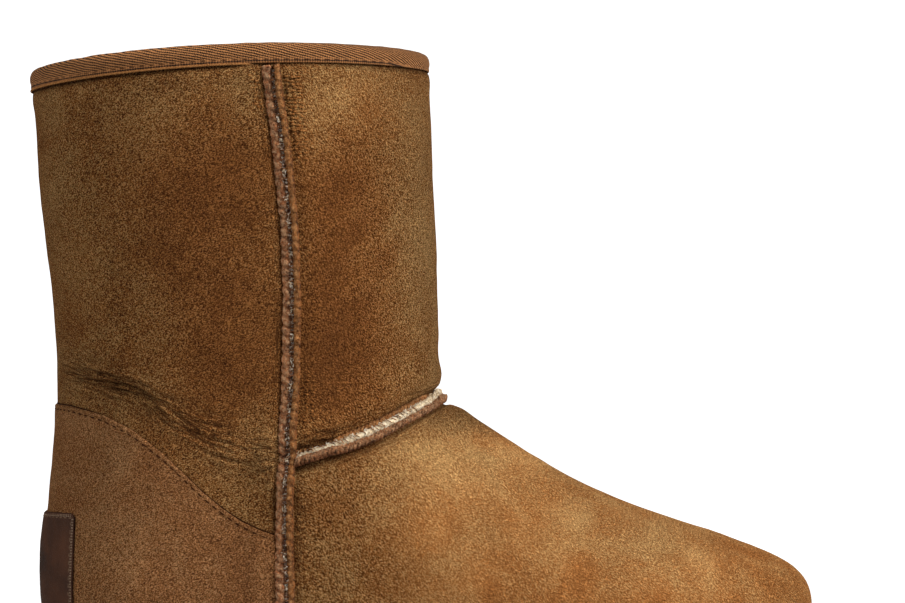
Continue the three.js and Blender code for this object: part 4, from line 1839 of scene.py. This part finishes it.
@dataclass
class RaisedSeam:
    """Two hide edges that stand up side by side, overcast, with wool between them."""

    name: str
    node: str
    run: Run
    lips: tuple[Lip, Lip]
    band: WoolBand
    seed: int = 1

    def lip(self, number: int) -> Piece:
        """One standing edge as a closed, lumpy strip along the seam.

        Args:
            number: 0 for the first edge, 1 for the second.

        Returns:
            The edge, with its crests and needle holes kept at its vertices.
        """
        run, lip = self.run, self.lips[number]
        middle, half = (lip.start + lip.end) / 2, (lip.end - lip.start) / 2
        keep: dict[str, Array] = {}

        def shape(u: Array, v: Array) -> Array:
            """Places on the edge.

            Args:
                u: share of the way along it.
                v: share of the way round it.

            Returns:
                One place for each pair.
            """
            distance = u * run.length[-1]
            places, _, across, out = run.at(distance)
            turn = math.tau * v
            side = np.sign(np.cos(turn)) * np.abs(np.cos(turn)) ** 0.75
            up = np.sign(np.sin(turn)) * np.abs(np.sin(turn)) ** 0.8
            spot = np.stack([distance / MM, side * 3, up * 3 + number * 9], axis=1)
            rough = unevenness(spot, 1.1, self.seed) * 0.27 + unevenness(spot, 4.5, self.seed + 1) * 0.28
            reach = distance / MM + lip.slant * side * half + number * lip.pitch / 2
            beat = np.abs(np.sin(math.pi * reach / lip.pitch))
            swell = lip.lump * (beat**0.6 - 0.75)
            off = middle + side * (half + swell * 0.6 + rough * 0.6)
            ends = ease(np.minimum(u, 1 - u) * run.length[-1] / MM, 0, 1.2)
            high = (up + 0.55) / 1.55 * (lip.height + swell * 1.4 + rough)
            high = np.where(up > 0, high * (0.4 + 0.6 * ends), high)
            # Painted highlight on the crests; painted shade in the needle holes at the foot and between the
            # lumps
            keep["crest"] = np.clip(up, 0, 1) * (0.4 + 0.6 * beat)
            foot = np.clip(side * (1 if number else -1), 0, 1) * bell(up - 0.15, 0.45)
            keep["hole_shade"] = bell(beat, 0.34) * np.clip(foot * 1.2 + lip.gap, 0, 1)
            return places + (across * off[:, None] + out * high[:, None]) * MM

        piece = sheet_piece(f"{self.name}_edge_{'ab'[number]}", len(run.places) - 1, 16, shape)
        add_value(piece, "crest", keep["crest"])
        add_value(piece, "hole_shade", keep["hole_shade"])
        close_up(piece)
        return piece

    def core(self) -> Piece:
        """The dense wool under the curls, as a lumpy strip between the edges.

        Returns:
            The strip.
        """
        run, band = self.run, self.band
        middle, half = (band.start + band.end) / 2, (band.end - band.start) / 2 + 0.2

        def shape(u: Array, v: Array) -> Array:
            """Places on the strip.

            Args:
                u: share of the way along it.
                v: share of the way round it.

            Returns:
                One place for each pair.
            """
            distance = u * run.length[-1]
            places, _, across, out = run.at(distance)
            turn = math.tau * v
            spot = np.stack([distance / MM, np.cos(turn) * 3, np.sin(turn) * 3], axis=1)
            rough = unevenness(spot, 0.9, self.seed + 70) * 0.3
            off = middle + np.cos(turn) * (half + rough)
            high = (np.sin(turn) + 0.5) / 1.5 * (band.high - 0.45 + rough) * self.rise(distance / MM)
            return places + (across * off[:, None] + out * high[:, None]) * MM

        piece = sheet_piece(self.name + "_core", len(run.places) - 1, 14, shape)
        close_up(piece)
        return piece

    def rise(self, distance: Array) -> Array:
        """How far the wool rises at distances along the seam in millimetres, lower near its ends."""
        total = self.run.length[-1] / MM
        return 0.72 + 0.28 * ease(np.minimum(distance, total - distance), 1, 24)

    def wool(self) -> Piece:
        """The curls between the two edges, gathered in clumps.

        Returns:
            The curls as one piece.
        """
        rng = np.random.default_rng(self.seed + 40)
        band = self.band
        centres = np.arange(0.8, self.run.length[-1] / MM - 0.8, band.pitch)
        clump = np.repeat(np.arange(len(centres)), band.count)
        count = len(clump)
        distance = centres[clump] + rng.normal(0, band.gather * band.pitch, count)
        places, _, across, out = self.run.at(distance * MM)
        fullness = rng.uniform(0.75, 1.1, len(centres))[clump]
        off = rng.uniform(band.start, band.end, count)
        high = rng.uniform(band.low, band.high, count) * fullness * self.rise(distance)
        places = places + (across * off[:, None] + out * high[:, None]) * MM
        scales = np.repeat(rng.uniform(0.65, 1.2, (count, 1)) * band.size * MM, 3, axis=1)
        return scatter(self.name + "_wool", curl_model(), places, random_frames(rng, count), scales)

    def tufts(self, places: Array, count: int, spread: float, size: float) -> Piece:
        """Brighter wool that breaks out at some places along the seam.

        Args:
            places: distances along the seam in millimetres.
            count: curls in each tuft.
            spread: how far a tuft reaches along the seam, in millimetres.
            size: of one curl, in millimetres.

        Returns:
            The tufts as one piece.
        """
        rng = np.random.default_rng(self.seed + 60)
        middle = (self.band.start + self.band.end) / 2
        distance = np.repeat(places, count) + rng.normal(0, spread, len(places) * count)
        spots, _, across, out = self.run.at(distance * MM)
        off = middle + rng.normal(0, 0.35, len(distance))
        high = self.band.high + rng.uniform(-0.5, 0.55, len(distance))
        spots = spots + (across * off[:, None] + out * high[:, None]) * MM
        scales = np.repeat(rng.uniform(0.7, 1.2, (len(distance), 1)) * size * MM, 3, axis=1)
        return scatter(self.name + "_tufts", curl_model(), spots, random_frames(rng, len(distance)), scales)

    def overcast(
        self, start: float, end: float, high: float, pitch: float, lean: float, reach: float = 1e3
    ) -> Piece:
        """The threads that cross from one edge to the other. Sizes in millimetres.

        Args:
            start: where a thread starts across the seam.
            end: where it ends.
            high: how high it lies.
            pitch: from one thread to the next.
            lean: how far it leans along the seam, as a share of its length.
            reach: how far from the seam's ends threads are found.

        Returns:
            The threads as one piece.
        """
        model = thread_model()
        rng = np.random.default_rng(self.seed + 80)
        distance = np.arange(pitch, self.run.length[-1] / MM - pitch, pitch)
        distance = distance[np.minimum(distance, self.run.length[-1] / MM - distance) < reach]
        distance = distance + rng.normal(0, 0.2 * pitch, len(distance))
        distance = distance[rng.random(len(distance)) < 0.8]
        lean = lean * rng.uniform(0.4, 1.5, (len(distance), 1))
        places, along, across, out = self.run.at(distance * MM)
        places = places + (across * (start + end) / 2 + out * high) * MM
        first = across + along * lean
        first /= np.linalg.norm(first, axis=1)[:, None]
        frames = np.stack([first, np.cross(out, first), out], axis=1)
        scales = np.array([end - start, 0.36, 0.8]) * MM * rng.uniform(0.7, 1.1, (len(distance), 3))
        return scatter(self.name + "_overcast", model, places, frames, scales)


@dataclass
class SideSeam(RaisedSeam):
    """The seam down one side of the shaft: a wide pale edge and a narrow orange one."""

    lips: tuple[Lip, Lip] = (
        Lip(-2.9, 0.35, 2.2, 3.3, 0.42, 0.5, 0.3),
        Lip(1.3, 3.45, 1.9, 3.15, 0.3, 0.3, 0.05),
    )
    band: WoolBand = WoolBand(0.15, 1.5, 0.9, 2.0, 1.45, 12, 0.8)

    def build(self, finishes: Finishes) -> None:
        """Builds both edges, the wool and the threads, and dresses them.

        Args:
            finishes: the boot's materials.
        """
        settle(self.lip(0), "seam_edge", finishes.edge, self.node)
        settle(self.lip(1), "seam_edge", finishes.rope, self.node)
        settle(self.wool(), "fleece", finishes.seam_wool, self.node)
        spots = np.cumsum(np.random.default_rng(self.seed).uniform(6.5, 11, 20))
        spots = spots[spots < self.run.length[-1] / MM - 3]
        settle(self.tufts(spots, 10, 0.8, 0.7), "fleece", finishes.tuft, self.node)
        settle(self.overcast(-0.2, 1.75, 1.8, 1.45, 0.25), "seam_edge", finishes.rope_dark, self.node)


@dataclass
class InstepSeam(RaisedSeam):
    """The seam across the instep: a thin edge above, a roped one below, and cream wool between them."""

    lips: tuple[Lip, Lip] = (
        Lip(-3.5, -1.35, 2.1, 1.5, 0.4, 0.7, 0.5),
        Lip(0.55, 3.15, 2.2, 1.45, 0.7, 1.0, 0.8),
    )
    band: WoolBand = WoolBand(-1.6, 0.9, 1.1, 2.6, 1.3, 24, 1.05, 0.35)

    def build(self, finishes: Finishes) -> None:
        """Builds both edges, the wool, its tuft at the front and the threads, and dresses them.

        Args:
            finishes: the boot's materials.
        """
        settle(self.lip(0), "seam_edge", finishes.rope, self.node)
        settle(self.lip(1), "seam_edge", finishes.rope_dark, self.node)
        settle(self.core(), "fleece", finishes.dense_wool, self.node)
        settle(self.wool(), "fleece", finishes.tuft, self.node)
        middle = self.run.length[-1] / MM / 2
        spots = np.concatenate([np.linspace(middle - far, middle + far, n) for far, n in ((9, 15), (4, 9))])
        settle(self.tufts(spots, 26, 1.1, 1.2), "fleece", finishes.tuft, self.node)
        settle(self.overcast(-1.9, 1.0, 2.3, 1.45, 0.6, 50), "seam_edge", finishes.rope_dark, self.node)


def thread_model() -> Piece:
    """A short arched thread, one unit long and half a unit high.

    Returns:
        The thread, round the origin.
    """

    def shape(u: Array, v: Array) -> Array:
        """Places on the thread.

        Args:
            u: share of the way along it.
            v: share of the way round it.

        Returns:
            One place for each pair.
        """
        turn = math.tau * v
        thick = 0.5 * np.sqrt(np.clip(1 - (2 * u - 1) ** 4, 0, 1))
        arch = 0.5 * (1 - (2 * u - 1) ** 2)
        return np.stack([u - 0.5, thick * np.cos(turn), arch - 0.35 + thick * 0.45 * np.sin(turn)], axis=1)

    piece = sheet_piece("thread", 6, 6, shape)
    close_up(piece, 1e-4)
    return piece


def curl_model() -> Piece:
    """One short curl of wool, about one unit long.

    Returns:
        The curl, round the origin.
    """

    def shape(u: Array, v: Array) -> Array:
        """Places on the curl.

        Args:
            u: share of the way along it.
            v: share of the way round it.

        Returns:
            One place for each pair.
        """
        turn = u * 4.2
        path = np.stack([u - 0.5, 0.28 * np.sin(turn), 0.28 * np.cos(turn)], axis=1)
        thick = 0.13 * (1 - 0.6 * np.abs(2 * u - 1) ** 2)
        ring = np.stack([np.zeros_like(v), np.cos(math.tau * v), np.sin(math.tau * v)], axis=1)
        return path + ring * thick[:, None]

    piece = sheet_piece("curl", 5, 4, shape)
    close_up(piece, 1e-4)
    return piece


def random_frames(rng: np.random.Generator, count: int) -> Array:
    """Axes turned at random.

    Args:
        rng: draws the directions.
        count: how many sets of axes.

    Returns:
        For each set its three axes as rows.
    """
    first = rng.normal(size=(count, 3))
    first /= np.linalg.norm(first, axis=1)[:, None]
    second = np.cross(first, rng.normal(size=(count, 3)))
    second /= np.linalg.norm(second, axis=1)[:, None]
    return np.stack([first, second, np.cross(first, second)], axis=1)


def stitch_row(
    name: str, run: Run, pitch: float, length: float, thick: float, lift: float, offset: float = 0
) -> Piece:
    """A row of single stitches along a line. Sizes in metres.

    Args:
        name: the piece's name.
        run: the line that it follows.
        pitch: from one stitch to the next.
        length: of one stitch.
        thick: its half thickness.
        lift: how far its middle lies above the line's surface.
        offset: how far it lies across the line.

    Returns:
        The row as one piece.
    """
    distance = np.arange(pitch, run.length[-1] - pitch / 2, pitch)
    places, along, across, out = run.at(distance)
    places = places + across * offset + out * lift
    frames = np.stack([along, across, out], axis=1)
    scales = np.tile([length / 2, thick, thick * 0.7], (len(distance), 1))
    return scatter(name, ball(8), places, frames, scales)


def cord(name: str, run: Run, lift: float, radius: float, closed: bool = False) -> Piece:
    """A twisted two-ply cord along a line. Sizes in metres.

    Args:
        name: the piece's name.
        run: the line that it follows.
        lift: how far its middle lies above the line's surface.
        radius: of the cord.
        closed: whether the line ends where it starts.

    Returns:
        The cord.
    """

    def shape(u: Array, v: Array) -> Array:
        """Places on the cord.

        Args:
            u: share of the way along it.
            v: share of the way round it.

        Returns:
            One place for each pair.
        """
        distance = u * run.length[-1]
        places, _, across, out = run.at(distance)
        turn = math.tau * v
        twist = distance / (radius * 3.2) * math.tau
        thick = radius * (0.82 + 0.18 * np.cos(2 * turn - twist))
        ring = across * np.cos(turn)[:, None] + out * np.sin(turn)[:, None]
        return places + out * lift + ring * thick[:, None]

    piece = sheet_piece(name, int(run.length[-1] / (radius * 0.8)), 8, shape)
    close_up(piece, 1e-5 if closed else 1e-6)
    return piece


@dataclass
class Binding:
    """The twill tape folded over the collar, its sewn edge and its stitches."""

    wave: float = 0.3
    half_length: float = 67.3 * MM
    half_width: float = 46.3 * MM
    mean_radius: float = 57.5 * MM
    bins: int = 44

    def ring(self, skin: BVHTree, height: float) -> Run:
        """The line round the tape's outer face at a height above its lower edge.

        Args:
            skin: the tape's faces.
            height: above the edge, in metres.

        Returns:
            The line.
        """
        met = []
        for turn in np.linspace(-180, 180, 260):
            out = heading(turn)
            low, high = TAPE_LOW - 2 * MM, COLLAR_TOP
            for _ in range(14):
                z = (low + high) / 2
                axis = Vector((SHAFT_AXIS, 0, z))
                hit = skin.ray_cast(axis + out * 0.3, -out)[0]
                inside = hit is None or (hit - axis).dot(out) < self.rim(turn)
                low, high = (z, high) if inside else (low, z)
            start = Vector((SHAFT_AXIS, 0, high + height + 0.05 * MM)) + out * 0.3
            place, normal, _, _ = skin.ray_cast(start, -out)
            if place is not None:
                met.append((place, normal))
        return spaced(met, 0.5 * MM)

    def rim(self, turn: float) -> float:
        """A radius that only the tape's outer face reaches, in a direction round the shaft."""
        out = heading(turn)
        return 0.8 / math.hypot(out.x / self.half_length, out.y / self.half_width)

    def build(self, finishes: Finishes) -> None:
        """Builds the tape, its edge cord and its stitches, and dresses them.

        Args:
            finishes: the boot's materials.
        """
        piece = node_copy("collar_binding", "collar_binding_tape")
        apply_subsurf(piece, 3)
        points = points_of(piece)
        ahead = (points[:, 0] - SHAFT_AXIS) / self.half_length
        aside = points[:, 1] / self.half_width
        turn, reach = np.arctan2(aside, ahead), np.hypot(ahead, aside)
        edge = self.lower_edge(turn, points)
        up = (points[:, 2] - edge) / MM
        depth = (1 - reach) * 55
        across = np.where(depth < 6.5, up + np.clip(depth, 0, 6.5), 24 - up)
        add_track(piece, "tape", turn * self.mean_radius, across * MM)
        where = heel_mm(points)
        ripple = 0.6 * unevenness(where, 9, 31) + 0.5 * unevenness(where, 4, 32)
        ripple = self.wave * ripple * ease(up, 2, 7)
        sewn = 0.18 * bell(up - 4.2, 1.8) - 0.2 * bell(up - 1.9, 0.7)
        move = normals_of(piece) * (sewn[:, None] * (reach > 0.93)[:, None]) * MM
        move[:, 2] += ripple * MM
        move_points(piece, points + move)
        settle(piece, "binding_twill", finishes.twill, "collar_binding")
        tree = search_tree(piece)
        cords = cord("binding_edge_cord", self.ring(tree, 0), 0.3 * MM, 0.42 * MM, True)
        settle(cords, "binding_twill", finishes.cord, "collar_binding")
        row = self.ring(tree, 1.25 * MM)
        stitches = stitch_row("binding_stitches", row, 3.5 * MM, 2.3 * MM, 0.16 * MM, 0.02 * MM)
        settle(stitches, "binding_twill", finishes.thread, "collar_binding")

    def lower_edge(self, turn: Array, points: Array) -> Array:
        """The height of the tape's lower edge in each direction round the shaft.

        Args:
            turn: each point's direction in radians.
            points: the tape's vertices.

        Returns:
            The height for each point.
        """
        place = (turn + math.pi) / math.tau * self.bins
        own = np.floor(place).astype(int) % self.bins
        low = [points[own == k, 2].min() if (own == k).any() else TAPE_LOW for k in range(self.bins)]
        low = np.array(low)
        k = np.floor(place - 0.5).astype(int)
        t = place - 0.5 - k
        return low[k % self.bins] * (1 - t) + low[(k + 1) % self.bins] * t


@dataclass
class HeelCounter:
    """The smooth suede overlay round the heel, with a folded edge and one row of stitches."""

    thick: float = 0.85 * MM
    tuck: float = 0.16 * MM
    stitch_line: float = 1.75
    seam_half: float = 2.9 * MM
    gap_rise: float = 0.2 * MM
    gap_radius: float = 0.24 * MM
    columns: int = 230
    rows: int = 46

    def axis(self, z: float = 60 * MM) -> float:
        """Where the upright axis that the counter bends round stands on X, at the height z."""
        return PATTERN.seam_x(z) - self.seam_half

    def along_edge(self, skin: Skin, rise: float, turns: Array) -> list[Met]:
        """Places on a skin at a height above the counter's edge.

        Args:
            skin: the surface.
            rise: the height above the edge, in metres.
            turns: directions round the axis in degrees.

        Returns:
            The place and the outward direction in each direction.
        """
        return [skin.on_line(self.axis(), turn, lambda x: PATTERN.counter_z(x) + rise) for turn in turns]

    def build(self, skin: Skin, finishes: Finishes) -> Piece:
        """Builds the overlay and its stitches on the hide.

        Args:
            skin: the pressed hide.
            finishes: the boot's materials.

        Returns:
            The overlay.
        """
        met = self.along_edge(skin, 0, np.linspace(90, 270, self.columns + 1))
        edge = np.array([place.z for place, _ in met])
        bottom = np.array([self.sole_height(place.x) for place, _ in met])
        column = np.arange(self.columns + 1)

        def shape(u: Array, v: Array) -> Array:
            """Places on the counter.

            Args:
                u: share of the way along it.
                v: share of the way up it.

            Returns:
                One place for each pair.
            """
            made = np.empty((len(u), 3))
            for k, (a, b) in enumerate(zip(u, v)):
                top = np.interp(a * self.columns, column, edge)
                foot = np.interp(a * self.columns, column, bottom)
                z = foot + (top - foot) * (1 - (1 - b) ** 1.25)
                place, normal = skin.from_round(self.axis(z), 90 + 180 * a, z)
                below = (top - z) / MM
                lift = self.thick * (1 - 0.45 * bell(below, 0.25))
                lift -= self.tuck * bell(below - self.stitch_line, 0.35)
                made[k] = place + normal * lift
            return made

        piece = sheet_piece("heel_counter_suede", self.columns, self.rows, shape)
        points = points_of(piece)
        where = heel_mm(points)
        inside = (np.array([PATTERN.counter_z(x) for x in points[:, 0]]) - points[:, 2]) / MM
        # Painted shade in the groove of the stitch line
        add_value(piece, "fold", 0.45 * bell(inside - self.stitch_line, 0.3))
        # The leather's own uneven tone; the band just inside the edge is a painted highlight on the fold
        tone = 0.13 * unevenness(where, 18, 51) + 0.08 * unevenness(where, 7, 52)
        add_value(piece, "tone", tone + 0.05 * bell(inside - 0.8, 0.6))
        add_value(piece, "coarse", np.full(len(points), 0.7))
        thicken(piece, 0.55 * MM, HEEL_BACK + 60 * MM)
        settle(piece, "counter_suede", finishes.counter, "heel_counter")
        sewn = self.along_edge(Skin(piece), -self.stitch_line * MM, np.linspace(92, 268, 200))
        row = spaced(sewn, 0.5 * MM)
        stitches = stitch_row("counter_stitches", row, 3.2 * MM, 1.9 * MM, 0.3 * MM, 0.05 * MM)
        settle(stitches, "counter_suede", finishes.thread, "heel_counter")
        # A dark cord along the upper edge paints the shadow where the counter meets the hide
        brink = spaced(self.along_edge(skin, self.gap_rise, np.linspace(91, 269, 240)), 0.5 * MM)
        gap = cord("counter_edge_shadow", brink, 0.08 * MM, self.gap_radius)
        settle(gap, "counter_suede", finishes.cut_edge, "heel_counter")
        return piece

    def sole_height(self, x: float) -> float:
        """The height of the counter's foot, just above the sole."""
        drop = ease(np.array((x - HEEL_BACK) / MM), 66.5, 186)
        return SOLE_TOP_AT_HEEL - 6 * MM * float(drop) + 0.1 * MM


@dataclass
class HeelPatch:
    """A bare leather plate over the back of the heel, stitched near its border."""

    foot: float = 32.6 * MM
    top: float = 65.4 * MM
    seen_edge: float = 14.6
    heel_radius: float = 31 * MM
    thick: float = 0.95 * MM
    corner: float = 2.2 * MM
    border: float = 1.6 * MM
    columns: int = 96
    rows: int = 48

    def build(self, counter: Skin, finishes: Finishes) -> None:
        """Builds the plate and its border stitches on the counter.

        Args:
            counter: the heel counter's surface.
            finishes: the boot's materials.
        """
        axis = HEEL_BACK + 30 * MM
        low, high = 181.0, 265.0
        for _ in range(16):
            turn = (low + high) / 2
            place, _ = counter.from_round(axis, turn, (self.foot + self.top) / 2)
            nearer = CAMERA.side_view(np.array([tuple(place)]))[0, 0] < self.seen_edge
            low, high = (turn, high) if nearer else (low, turn)
        half = turn - 180
        rim: dict[str, Array] = {}

        def shape(u: Array, v: Array) -> Array:
            """Places on the plate.

            Args:
                u: share of the way along it.
                v: share of the way up it.

            Returns:
                One place for each pair.
            """
            made = np.empty((len(u), 3))
            arc = math.radians(2 * half) * self.heel_radius
            from_end = np.minimum(v, 1 - v) * (self.top - self.foot)
            cut = np.maximum(self.corner - from_end, 0)
            cut = self.corner - np.sqrt(self.corner**2 - cut**2)
            inside = np.minimum(u, 1 - u) * arc
            for k, (a, b) in enumerate(zip(u, v)):
                turn = 180 + (a - 0.5) * 2 * half * (1 - 2 * cut[k] / arc)
                place, normal = counter.from_round(axis, turn, self.foot + (self.top - self.foot) * b)
                near = min(from_end[k], inside[k]) / MM
                lift = self.thick * (1 - 0.5 * bell(near, 0.35))
                lift -= 0.16 * MM * bell(near - self.border / MM, 0.4)
                made[k] = place + normal * lift
            rim["near"] = np.minimum(from_end, inside) / MM
            return made

        piece = sheet_piece("heel_patch_plate", self.columns, self.rows, shape)
        add_value(piece, "rim", bell(rim["near"] - 0.7, 0.5))
        thicken(piece, 0.8 * MM, axis)
        settle(piece, "patch_leather", finishes.patch, "heel_patch")
        plate = Skin(piece)
        inner = half - math.degrees(self.border / self.heel_radius)
        width = np.linspace(180 - inner, 180 + inner, 60)
        rise = np.linspace(self.foot + self.border, self.top - self.border, 40)
        turns = np.concatenate([width, np.full(40, width[-1]), width[::-1], np.full(40, width[0])])
        heights = np.concatenate([np.full(60, rise[-1]), rise[::-1], np.full(60, rise[0]), rise])
        met = [plate.from_round(axis, turn, z) for turn, z in zip(turns, heights)]
        row = Run(*(np.array([tuple(pair[k]) for pair in met]) for k in range(2)))
        stitches = stitch_row("patch_stitches", row, 2.6 * MM, 1.7 * MM, 0.2 * MM, 0.05 * MM)
        settle(stitches, "patch_leather", finishes.patch_thread, "heel_patch")
        for number, offset in enumerate((-0.55, -1.0)):
            name = f"patch_hem_{number}"
            hem = stitch_row(name, row, 0.95 * MM, 0.62 * MM, 0.2 * MM, 0.03 * MM, offset * MM)
            settle(hem, "patch_leather", finishes.hem_thread, "heel_patch")


def build_sole() -> Piece:
    """The moulded sole with softened edges.

    Returns:
        The sole.
    """
    piece = node_copy("outsole", "moulded_sole")
    choose(piece)
    soften = piece.modifiers.new("soften", "BEVEL")
    soften.width = 0.5 * MM
    soften.segments = 2
    soften.limit_method = "ANGLE"
    soften.angle_limit = math.radians(35)
    bpy.ops.object.modifier_apply(modifier="soften")
    return piece


def dress_node(node: str, material: Material) -> None:
    """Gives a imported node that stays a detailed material."""
    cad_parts[node].data.materials.clear()
    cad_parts[node].data.materials.append(material)


def main() -> None:
    """Builds the studio and the boot."""
    logging.basicConfig(level=logging.INFO, format="%(message)s")
    CAMERA.build()
    Studio().build()
    finishes = Finishes(Groups())
    upper = Upper()
    upper.build_hide()
    outer, inner, instep = upper.press()
    settle(upper.hide, "suede", finishes.suede, "upper")
    skin = Skin(upper.hide)
    lining = settle(upper.build_lining(), "fleece", finishes.fleece, "upper")
    settle(upper.collar_wool(lining), "fleece", finishes.tuft, "upper")
    settle(upper.imprints(), "suede", finishes.suede, "upper")
    SideSeam("outer_seam", "side_seam_outer", outer, seed=3).build(finishes)
    SideSeam("inner_seam", "side_seam_inner", inner, seed=5).build(finishes)
    InstepSeam("front_seam", "instep_seam", instep, seed=7).build(finishes)
    Binding().build(finishes)
    counter = HeelCounter().build(skin, finishes)
    HeelPatch().build(Skin(counter), finishes)
    settle(build_sole(), "sole_foam", finishes.sole, "outsole")
    dress_node("insole", finishes.fleece)


if __name__ == "__main__":
    main()
